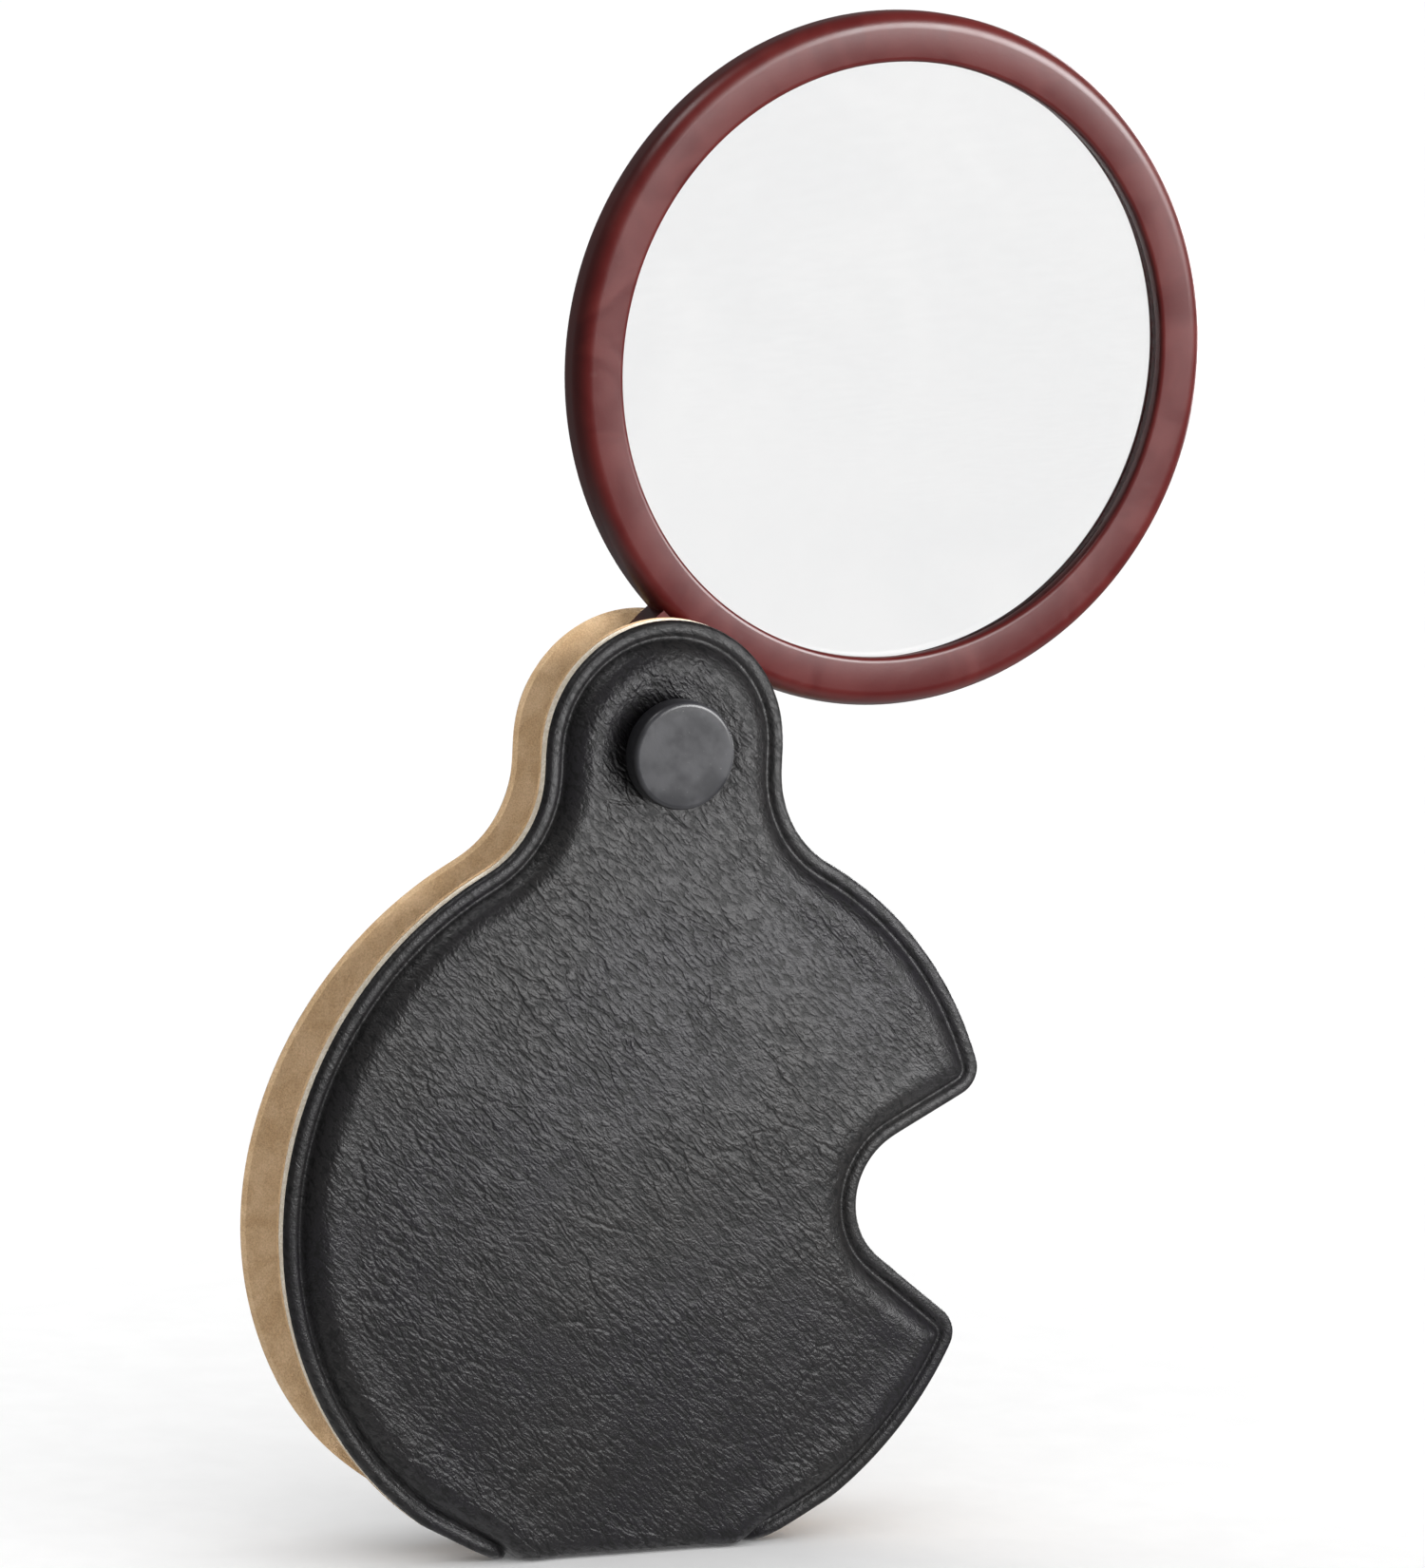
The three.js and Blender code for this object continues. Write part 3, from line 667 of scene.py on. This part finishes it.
def make_tab():
    """The flat tab from the frame's ring to the pivot, drawn straight up and then turned with the lens."""
    right = Vector((TAB_ROOT_RADIUS * math.sin(TAB_ROOT_ANGLE),
                    PIVOT_Z - TAB_ROOT_RADIUS * math.cos(TAB_ROOT_ANGLE)))
    start = Vector((TAB_RADIUS, 0))
    bend = Vector((TAB_RADIUS, TAB_RADIUS))
    steps = [i / 12 for i in range(13)]
    side = [right * (1 - t) ** 2 + bend * 2 * t * (1 - t) + start * t * t for t in steps]
    loop = side + arc((0, 0), TAB_RADIUS, 0, -math.pi)[1:-1] + [Vector((-p.x, p.y)) for p in side[::-1]]
    turn = Matrix.Rotation(-OPEN_ANGLE, 2)
    return prism("lens_tab", [turn @ p for p in loop], TAB_HALF)


def prism(name, loop, half_depth):
    """A solid with that (x, z) outline, measured from the pivot, and as deep to the front as to the rear."""
    vertices = [(p.x, y, PIVOT_Z + p.y) for y in (-half_depth, half_depth) for p in loop]
    count = len(loop)
    faces = [tuple(range(count)), tuple(range(2 * count - 1, count - 1, -1))]
    faces += [(i, (i + 1) % count, (i + 1) % count + count, i + count) for i in range(count)]
    return new_object(name, vertices, faces, 30)


def make_lens_frame():
    """The ring joined to its tab, with the hole for the bush drilled through the tab."""
    ring = make_frame_ring()
    tab = make_tab()
    drill = prism("tab_drill", arc((0, 0), TAB_HOLE, 0, math.tau)[:-1], 2 * TAB_HALF)
    for tool, operation in ((tab, "UNION"), (drill, "DIFFERENCE")):
        cut = ring.modifiers.new(tool.name, "BOOLEAN")
        cut.operation = operation
        cut.solver = "EXACT"
        cut.object = tool
    apply_modifiers(ring)
    for tool in (tab, drill):
        bpy.data.objects.remove(tool)
    smooth(ring, 40)
    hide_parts("lens_frame")
    paint(ring, burgundy_material())


def apply_modifiers(piece):
    """Replaces a piece's mesh by what its modifiers make of it."""
    depsgraph = bpy.context.evaluated_depsgraph_get()
    mesh = bpy.data.meshes.new_from_object(piece.evaluated_get(depsgraph))
    piece.modifiers.clear()
    piece.data = mesh


def make_retaining_ring():
    """The ring behind the glass, with rounded edges and a sloping inside."""
    half = FRAME_HALF
    profile = [(24.4, RING_FOOT_Y), (25.9, RING_FOOT_Y), (25.98, RING_FOOT_Y + 0.08), (25.98, half - 0.2),
               (25.8, half - 0.02), (25.5, half), (24.95, half), (24.75, half - 0.06), (24.62, half - 0.2)]
    ring = lathe("snap_ring", profile, 240, LENS, "lens")
    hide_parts("retaining_ring")
    paint(ring, burgundy_material())


def make_glass():
    """A lens with two equally curved faces and a bevelled edge."""
    half = LENS_EDGE / 2
    curve = (LENS_RADIUS ** 2 + LENS_BULGE ** 2) / (2 * LENS_BULGE)
    steps = 40
    rim_bevel = 0.12
    segments = 180
    rings = []
    for i in range(1, steps + 1):
        radius = (LENS_RADIUS - rim_bevel) * i / steps
        rings.append((radius, half + LENS_BULGE - curve + math.sqrt(curve ** 2 - radius ** 2)))
    profile = [(r, -y) for r, y in rings]
    profile += [(LENS_RADIUS, -half + rim_bevel), (LENS_RADIUS, half - rim_bevel)]
    profile += rings[::-1]
    vertices = []
    for i in range(segments):
        turn = math.tau * i / segments
        across, up = math.cos(turn), math.sin(turn)
        vertices += [(LENS[0] + r * across, y, LENS[1] + r * up) for r, y in profile]
    count = len(profile)
    faces = []
    for i in range(segments):
        here, there = i * count, (i + 1) % segments * count
        faces += [(here + k, here + k + 1, there + k + 1, there + k) for k in range(count - 1)]
    for end, y in ((0, -half - LENS_BULGE), (count - 1, half + LENS_BULGE)):
        pole = len(vertices)
        vertices.append((LENS[0], y, LENS[1]))
        faces += [(pole, i * count + end, (i + 1) % segments * count + end) for i in range(segments)]
    glass = new_object("lens_glass", vertices, faces, 50)
    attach(glass, "lens")
    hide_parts("glass_lens")
    paint(glass, glass_material())


# ---- the rivet ----

def make_cap(side):
    """A lacquered cap with a flat top, a rounded edge and a rolled foot."""
    name = "rear" if side > 0 else "front"
    top, foot, radius = CAP_TOP, CAP_FOOT, CAP_RADIUS
    outside = [(0.02, top), (1.5, top), (3.0, top - 0.01)]
    for i in range(9):
        angle = math.pi / 2 * (1 - i / 8)
        across, up = CAP_BEVEL * math.cos(angle), CAP_BEVEL * math.sin(angle)
        outside.append((radius - CAP_BEVEL + across, top - CAP_BEVEL + up - 0.02))
    outside += [(radius, foot + 0.35), (radius - 0.02, foot + 0.12), (radius - 0.1, foot + 0.02),
                (radius - 0.2, foot), (radius - CAP_WALL, foot + 0.05)]
    inside = [(radius - CAP_WALL, top - CAP_WALL), (0.02, top - CAP_WALL)]
    profile = [(r, side * y) for r, y in outside + inside]
    cap = lathe(f"{name}_rivet_cap", profile, 120, (0, PIVOT_Z), "case")
    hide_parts(f"{name}_cap")
    paint(cap, cap_material())


# ---- materials ----

def paint(piece, material):
    piece.data.materials.clear()
    piece.data.materials.append(material)


class Nodes:
    """Short calls for building one node material. Positions are in millimetres of the object's frame."""

    def __init__(self, name):
        old = bpy.data.materials.get(name)
        self.done = old is not None
        self.material = old or bpy.data.materials.new(name)
        if self.done:
            return
        self.material.use_nodes = True
        self.tree = self.material.node_tree
        self.shader = self.tree.nodes["Principled BSDF"]
        coordinates = self.tree.nodes.new("ShaderNodeTexCoord")
        self.place = self.scaled(coordinates.outputs["Object"], (1 / MM,) * 3)

    def new(self, kind, **settings):
        node = self.tree.nodes.new(kind)
        for key, value in settings.items():
            setattr(node, key, value)
        return node

    def link(self, source, target):
        self.tree.links.new(source, target)

    def scaled(self, vector, scale):
        node = self.new("ShaderNodeMapping")
        node.inputs["Scale"].default_value = scale
        self.link(vector, node.inputs["Vector"])
        return node.outputs["Vector"]

    def turned(self, vector, rotation):
        node = self.new("ShaderNodeMapping")
        node.inputs["Rotation"].default_value = rotation
        self.link(vector, node.inputs["Vector"])
        return node.outputs["Vector"]

    def attribute(self, name):
        return self.new("ShaderNodeAttribute", attribute_name=name).outputs["Fac"]

    def noise(self, size, detail=3, roughness=0.5, distortion=0.0, vector=None):
        """Noise whose features are size millimetres across."""
        node = self.new("ShaderNodeTexNoise")
        node.inputs["Scale"].default_value = 1 / size
        node.inputs["Detail"].default_value = detail
        node.inputs["Roughness"].default_value = roughness
        node.inputs["Distortion"].default_value = distortion
        self.link(vector or self.place, node.inputs["Vector"])
        return node.outputs["Fac"]

    def cells(self, size, vector=None):
        """Distance to the edge of irregular cells that are size millimetres across."""
        node = self.new("ShaderNodeTexVoronoi", feature="DISTANCE_TO_EDGE")
        node.inputs["Scale"].default_value = 1 / size
        self.link(vector or self.place, node.inputs["Vector"])
        return node.outputs["Distance"]

    def warped(self, vector, size, amount):
        """The vector moved about by noise of that size, by up to about amount millimetres."""
        shift = self.new("ShaderNodeTexNoise")
        shift.inputs["Scale"].default_value = 1 / size
        shift.inputs["Detail"].default_value = 2
        self.link(self.place, shift.inputs["Vector"])
        centred = self.new("ShaderNodeVectorMath", operation="SUBTRACT")
        centred.inputs[1].default_value = (0.5, 0.5, 0.5)
        self.link(shift.outputs["Color"], centred.inputs[0])
        grown = self.new("ShaderNodeVectorMath", operation="SCALE")
        grown.inputs["Scale"].default_value = 2 * amount
        self.link(centred.outputs[0], grown.inputs[0])
        total = self.new("ShaderNodeVectorMath", operation="ADD")
        self.link(vector, total.inputs[0])
        self.link(grown.outputs[0], total.inputs[1])
        return total.outputs[0]

    def ramp(self, value, low, high, out_low=0.0, out_high=1.0):
        """Carries low..high smoothly to out_low..out_high."""
        node = self.new("ShaderNodeMapRange", interpolation_type="SMOOTHSTEP")
        node.inputs["From Min"].default_value = low
        node.inputs["From Max"].default_value = high
        node.inputs["To Min"].default_value = out_low
        node.inputs["To Max"].default_value = out_high
        self.link(value, node.inputs["Value"])
        return node.outputs["Result"]

    def math(self, operation, a, b):
        node = self.new("ShaderNodeMath", operation=operation)
        for socket, value in zip(node.inputs, (a, b)):
            if isinstance(value, (int, float)):
                socket.default_value = value
            else:
                self.link(value, socket)
        return node.outputs[0]

    def mix(self, share, low, high):
        """A colour between low and high, each a colour or a socket."""
        node = self.new("ShaderNodeMix", data_type="RGBA")
        self.link(share, node.inputs["Factor"])
        for socket, value in ((node.inputs[6], low), (node.inputs[7], high)):
            if isinstance(value, tuple):
                socket.default_value = (*value, 1)
            else:
                self.link(value, socket)
        return node.outputs[2]

    def bump(self, height, distance, strength=1.0, normal=None):
        """A bump of distance millimetres for a height of 0 to 1."""
        node = self.new("ShaderNodeBump")
        node.inputs["Strength"].default_value = strength
        node.inputs["Distance"].default_value = distance * MM
        self.link(height, node.inputs["Height"])
        if normal:
            self.link(normal, node.inputs["Normal"])
        return node.outputs["Normal"]

    def set(self, **inputs):
        """Sets the shader's inputs to numbers, colours or sockets, and gives back the material."""
        names = {"color": "Base Color", "roughness": "Roughness", "normal": "Normal", "metallic": "Metallic",
                 "sheen": "Sheen Weight", "sheen_roughness": "Sheen Roughness",
                 "specular": "Specular IOR Level", "ior": "IOR", "transmission": "Transmission Weight"}
        for key, value in inputs.items():
            socket = self.shader.inputs[names[key]]
            if isinstance(value, (int, float)):
                socket.default_value = value
            elif isinstance(value, tuple):
                socket.default_value = (*value, 1)
            else:
                self.link(value, socket)
        return self.material


def leather_material():
    """Black leather-look sheet: small uneven pebbles, slanting wrinkles and longer creases, with painted
    shade in the grain's valleys.
    """
    n = Nodes("leather")
    if n.done:
        return n.material
    slanted = n.turned(n.place, (0, math.radians(-43), 0))
    along = n.scaled(slanted, (0.5, 1, 1))
    pebbles = n.ramp(n.cells(0.48, vector=n.warped(along, 1.6, 0.25)), 0.0, 0.3)
    fine = n.ramp(n.cells(0.26, vector=n.warped(n.place, 0.8, 0.12)), 0.0, 0.3)
    wrinkles = n.ramp(n.noise(0.42, 1, 0.5, 0.4, n.scaled(slanted, (0.3, 1, 1))), 0.34, 0.6)
    creases = n.ramp(n.cells(3.0, vector=n.warped(n.scaled(slanted, (0.22, 1, 1)), 5.0, 1.3)), 0.0, 0.05)
    patches = n.ramp(n.noise(6.5, 2, 0.5), 0.36, 0.62)
    padded = n.ramp(n.attribute("edge_distance"), 1.8, 3.0, 0.3, 1.0)
    strong = n.math("MULTIPLY", n.math("ADD", n.math("MULTIPLY", patches, 0.45), 0.55), padded)
    grain = n.math("ADD", n.math("MULTIPLY", pebbles, 0.4), n.math("MULTIPLY", wrinkles, 0.6))
    height = n.math("ADD", n.math("MULTIPLY", grain, strong), n.math("MULTIPLY", fine, 0.15))
    soft = n.bump(n.math("MULTIPLY", n.math("MULTIPLY", creases, patches), padded), 0.06, 0.8)
    normal = n.bump(height, 0.065, 1.0, soft)
    tone = n.mix(n.ramp(n.noise(14.0, 2), 0.35, 0.65), (0.013, 0.0115, 0.015), (0.019, 0.0175, 0.0175))
    # Painted shade: the grain's low places are coloured near black, darker than the leather's own tone.
    color = n.mix(n.ramp(grain, 0.1, 0.6), (0.002, 0.0018, 0.0022), tone)
    rough = n.ramp(grain, 0.1, 0.9, 0.52, 0.38)
    return n.set(color=color, roughness=rough, normal=normal, specular=0.5)


def suede_material():
    """Tan brushed suede: short nap in small clumps, with darker strokes where it was brushed back."""
    n = Nodes("suede")
    if n.done:
        return n.material
    nap = n.noise(0.16, 4, 0.7)
    clumps = n.noise(0.9, 3, 0.6)
    strokes = n.ramp(n.noise(2.4, 3, 0.6, 0.6), 0.25, 0.75)
    color = n.mix(strokes, (0.56, 0.38, 0.21), (0.68, 0.485, 0.3))
    color = n.mix(n.ramp(nap, 0.3, 0.7), n.mix(strokes, (0.37, 0.24, 0.125), (0.5, 0.345, 0.2)), color)
    normal = n.bump(nap, 0.12, 0.8, n.bump(clumps, 0.15, 0.5))
    rough = n.ramp(clumps, 0.3, 0.7, 0.86, 1.0)
    return n.set(color=color, roughness=rough, normal=normal, specular=0.2, sheen=0.35, sheen_roughness=0.4)


def board_material():
    """Cut edge of cream fibreboard: fine plies with fibres and a few darker specks."""
    n = Nodes("fibreboard")
    if n.done:
        return n.material
    fibres = n.noise(0.25, 4, 0.7, 0.5)
    stains = n.noise(3.0, 2)
    color = n.mix(n.ramp(fibres, 0.3, 0.7), (0.62, 0.54, 0.42), (0.86, 0.8, 0.69))
    color = n.mix(n.ramp(stains, 0.35, 0.7, 0, 0.35), color, (0.5, 0.4, 0.28))
    return n.set(color=color, roughness=n.ramp(fibres, 0.2, 0.8, 0.8, 0.95), normal=n.bump(fibres, 0.06, 0.7))


def burgundy_material():
    """Satin moulded plastic, dark red-brown, with faint flow marks and a fine spark texture."""
    n = Nodes("burgundy")
    if n.done:
        return n.material
    flow = n.noise(5.0, 3, 0.5, 1.2)
    grain = n.noise(0.12, 2, 0.6)
    scuffs = n.ramp(n.noise(1.1, 5, 0.7, 0.4), 0.58, 0.74)
    color = n.mix(n.ramp(flow, 0.3, 0.7), (0.066, 0.004, 0.004), (0.086, 0.007, 0.006))
    rough = n.math("ADD", n.ramp(flow, 0.3, 0.7, 0.3, 0.37), n.math("MULTIPLY", scuffs, 0.1))
    normal = n.bump(grain, 0.006, 0.6, n.bump(flow, 0.03, 0.25))
    return n.set(color=color, roughness=rough, normal=normal, specular=0.45)


def glass_material():
    """Clear polished glass with a barely grey cast, slightly uneven where it has been wiped."""
    n = Nodes("lens_glass")
    if n.done:
        return n.material
    wiped = n.ramp(n.noise(16.0, 3, 0.6, 0.8), 0.3, 0.7)
    tint = n.mix(wiped, (0.86, 0.862, 0.865), (0.89, 0.89, 0.89))
    return n.set(color=tint, roughness=0.0, transmission=1.0, ior=1.5, specular=0.5)


def cap_material():
    """Satin black lacquer on a pressed cap: orange-peel surface, paler where fingers have rubbed it."""
    n = Nodes("cap_lacquer")
    if n.done:
        return n.material
    peel = n.noise(0.35, 2, 0.5)
    rubbed = n.ramp(n.noise(3.2, 3, 0.6), 0.4, 0.7)
    specks = n.ramp(n.noise(0.3, 2, 0.5), 0.7, 0.78)
    color = n.mix(rubbed, (0.02, 0.02, 0.023), (0.034, 0.034, 0.038))
    color = n.mix(specks, color, (0.07, 0.07, 0.07))
    rough = n.ramp(rubbed, 0.0, 1.0, 0.36, 0.46)
    return n.set(color=color, roughness=rough, normal=n.bump(peel, 0.01, 0.5), specular=0.55)


def metal_material(name, dark, light):
    """Plain drawn metal with fine lines round it and a little tarnish."""
    n = Nodes(name)
    if n.done:
        return n.material
    lines = n.noise(0.2, 3, 0.6, vector=n.scaled(n.place, (0.15, 3, 0.15)))
    tarnish = n.ramp(n.noise(1.5, 3), 0.35, 0.7)
    return n.set(color=n.mix(tarnish, light, dark), metallic=1.0,
                 roughness=n.ramp(lines, 0.3, 0.7, 0.25, 0.42), normal=n.bump(lines, 0.01, 0.5))


def nylon_material():
    """Natural nylon, slightly uneven and waxy."""
    n = Nodes("nylon")
    if n.done:
        return n.material
    waxy = n.noise(0.8, 3, 0.6)
    return n.set(color=n.mix(n.ramp(waxy, 0.3, 0.7), (0.66, 0.65, 0.6), (0.76, 0.75, 0.71)),
                 roughness=n.ramp(waxy, 0.3, 0.7, 0.4, 0.55), normal=n.bump(waxy, 0.01, 0.4))


def foam_material():
    """Grey open-cell foam."""
    n = Nodes("foam")
    if n.done:
        return n.material
    pores = n.ramp(n.cells(0.5), 0.0, 0.3)
    return n.set(color=n.mix(pores, (0.1, 0.1, 0.095), (0.3, 0.3, 0.29)),
                 roughness=n.ramp(pores, 0, 1, 1.0, 0.9), normal=n.bump(pores, 0.1, 0.8))


# ---- stage, light and camera ----

def floor_material():
    """Matt white card with a faint grain."""
    n = Nodes("floor")
    if n.done:
        return n.material
    grain = n.noise(6.0, 3, 0.6)
    return n.set(color=n.mix(n.ramp(grain, 0.3, 0.7), (0.9, 0.9, 0.9), (0.92, 0.92, 0.92)), roughness=0.8,
                 normal=n.bump(grain, 0.02, 0.2), specular=0.1)


def make_floor():
    """A pale floor under the fold that reflections and bounced light don't see."""
    half = 6000
    corners = [(-half, -half), (half, -half), (half, half), (-half, half)]
    floor = new_object("floor", [(x, y, FOLD_Z) for x, y in corners], [(0, 1, 2, 3)])
    paint(floor, floor_material())
    floor.visible_glossy = False
    floor.visible_diffuse = False
    return floor


def backdrop_material():
    """Paper that glows evenly, for the far wall above the horizon."""
    n = Nodes("backdrop")
    glow = n.mix(n.ramp(n.noise(900.0, 2), 0.3, 0.7), (1.0, 1.0, 1.0), (1.04, 1.04, 1.04))
    n.link(glow, n.shader.inputs["Emission Color"])
    n.shader.inputs["Emission Strength"].default_value = 1.0
    return n.set(color=(0.0, 0.0, 0.0), roughness=1.0, specular=0.0)


def make_backdrop():
    """A round wall on the floor that only the camera sees, directly or through the lens."""
    radius, height, segments = 3800, 2600, 96
    turns = [math.tau * i / segments for i in range(segments)]
    ring = [(radius * math.cos(t), radius * math.sin(t)) for t in turns]
    vertices = [(x, y, z) for z in (FOLD_Z, FOLD_Z + height) for x, y in ring]
    faces = []
    for i in range(segments):
        j = (i + 1) % segments
        faces.append((i, j, j + segments, i + segments))
    wall = new_object("backdrop", vertices, faces)
    paint(wall, backdrop_material())
    wall.visible_glossy = False
    wall.visible_diffuse = False
    wall.visible_shadow = False


def area_light(name, place, target, width, height, radiance, spread):
    """A soft light that the camera doesn't see, at place in metres, facing target; spread is in degrees."""
    light = bpy.data.lights.new(name, "AREA")
    light.shape = "RECTANGLE"
    light.size = width
    light.size_y = height
    light.energy = radiance * math.pi * width * height
    light.spread = math.radians(spread)
    lamp = bpy.data.objects.new(name, light)
    lamp.location = place
    lamp.visible_camera = False
    lamp.visible_transmission = False
    lamp.rotation_euler = (Vector(target) - Vector(place)).to_track_quat("-Z", "Y").to_euler()
    bpy.context.scene.collection.objects.link(lamp)
    return lamp


def linked(name, pieces, state):
    """A light-linking group: only those pieces (INCLUDE), or everything but them (EXCLUDE)."""
    group = bpy.data.collections.new(name)
    for piece in pieces:
        group.objects.link(piece)
    for entry in group.collection_objects:
        entry.light_linking.link_state = state
    return group


def light_scene(floor):
    """Softboxes for the object's pieces, and two wide suns for the floor alone."""
    make_world()
    objects = bpy.data.objects
    leather, glass = objects["case_leather"], objects["lens_glass"]
    inside = [objects[name] for name in ("suede_lining", "front_board_edge", "rear_board_edge")]
    key = (0.66, -0.8, 0.4)
    # name, place, target, width, height, radiance, spread, the pieces linked, and how
    for *lamp, pieces, state in (
            ("right_softbox", key, OBJECT_MIDDLE, 0.8, 0.6, 5.2, 90, [floor, glass, leather], "EXCLUDE"),
            ("case_softbox", key, OBJECT_MIDDLE, 0.8, 0.6, 1.3, 120, [leather], "INCLUDE"),
            ("case_card", (0.058, -0.1, 0.016), (0.01, 0, 0.03), 0.1, 0.045, 3.3, 120,
             [leather], "INCLUDE"),
            ("left_fill", (-0.62, -0.8, 0.36), OBJECT_MIDDLE, 0.6, 0.5, 2.35, 90, inside, "INCLUDE"),
            ("top_strip", (-0.22, -0.02, 0.46), OBJECT_MIDDLE, 0.22, 0.05, 14.0, 180,
             [floor, glass], "EXCLUDE"),
            ("back_fill", (0.9, 0.6, 0.15), OBJECT_MIDDLE, 0.6, 0.5, 4.5, 120, [floor, glass], "EXCLUDE")):
        light = area_light(*lamp)
        light.light_linking.receiver_collection = linked(f"{light.name}_pieces", pieces, state)
    for name, share, casts_shadow in (("floor_wash", 0.85, False), ("floor_key", 0.15, True)):
        sky = bpy.data.lights.new(name, "SUN")
        sky.angle = SKY_ANGLE
        sky.energy = FLOOR_IRRADIANCE * share
        light = bpy.data.objects.new(name, sky)
        bpy.context.scene.collection.objects.link(light)
        light.light_linking.receiver_collection = linked(f"{name}_pieces", [floor], "INCLUDE")
        if not casts_shadow:
            light.light_linking.blocker_collection = linked(f"{name}_blockers", [floor], "INCLUDE")


def make_world():
    """Dim grey all round and brighter below, for the reflection of the pale surface it stands on."""
    world = bpy.data.worlds.new("studio")
    bpy.context.scene.world = world
    world.use_nodes = True
    tree = world.node_tree
    coordinates = tree.nodes.new("ShaderNodeTexCoord")
    parts = tree.nodes.new("ShaderNodeSeparateXYZ")
    bright = tree.nodes.new("ShaderNodeMapRange")
    for socket, value in (("From Min", -0.55), ("From Max", -0.7), ("To Min", 0.2), ("To Max", 0.75)):
        bright.inputs[socket].default_value = value
    tree.links.new(coordinates.outputs["Generated"], parts.inputs[0])
    tree.links.new(parts.outputs["Z"], bright.inputs["Value"])
    tree.links.new(bright.outputs["Result"], tree.nodes["Background"].inputs["Strength"])
    tree.nodes["Background"].inputs["Color"].default_value = (1, 1, 1, 1)


def make_camera():
    """The main view: from the left and a little above, slightly rolled."""
    level = Vector((math.cos(CAMERA_YAW), -math.sin(CAMERA_YAW), 0))
    flat = math.cos(CAMERA_ELEVATION)
    back = Vector((-math.sin(CAMERA_YAW) * flat, -math.cos(CAMERA_YAW) * flat, math.sin(CAMERA_ELEVATION)))
    upright = back.cross(level)
    right = level * math.cos(CAMERA_ROLL) + upright * math.sin(CAMERA_ROLL)
    up = upright * math.cos(CAMERA_ROLL) - level * math.sin(CAMERA_ROLL)
    centre = right * 0.0077 + up * 0.0326 - Vector((0.0005, 0, 0))
    place = centre + back * CAMERA_DISTANCE
    camera = bpy.data.objects.new("camera", bpy.data.cameras.new("camera"))
    rows = [(right[i], up[i], back[i], place[i]) for i in range(3)]
    camera.matrix_world = Matrix((*rows, (0, 0, 0, 1)))
    camera.data.sensor_fit = "HORIZONTAL"
    camera.data.sensor_width = SENSOR_WIDTH
    camera.data.lens = SENSOR_WIDTH * CAMERA_DISTANCE / SHOWN_WIDTH
    camera.data.clip_start = 0.01
    camera.data.clip_end = 50
    bpy.context.scene.collection.objects.link(camera)
    bpy.context.scene.camera = camera


# ---- everything ----

make_camera()
OUTLINE = sheet_outline()
make_leather(OUTLINE)
make_lining(OUTLINE)
make_board(-1)
make_board(1)
make_lens_frame()
make_retaining_ring()
make_glass()
make_cap(-1)
make_cap(1)
for node, material in (
        ("front_stud", metal_material("steel", (0.42, 0.41, 0.4), (0.62, 0.62, 0.61))),
        ("rear_socket", metal_material("steel", (0.42, 0.41, 0.4), (0.62, 0.62, 0.61))),
        ("pivot_bush", metal_material("brass", (0.42, 0.3, 0.12), (0.72, 0.56, 0.28))),
        ("front_washer", nylon_material()), ("rear_washer", nylon_material()),
        ("front_pad", foam_material()), ("rear_pad", foam_material())):
    paint(frame["nodes"][node], material)

make_backdrop()
light_scene(make_floor())
bpy.context.scene.view_settings.view_transform = "Standard"
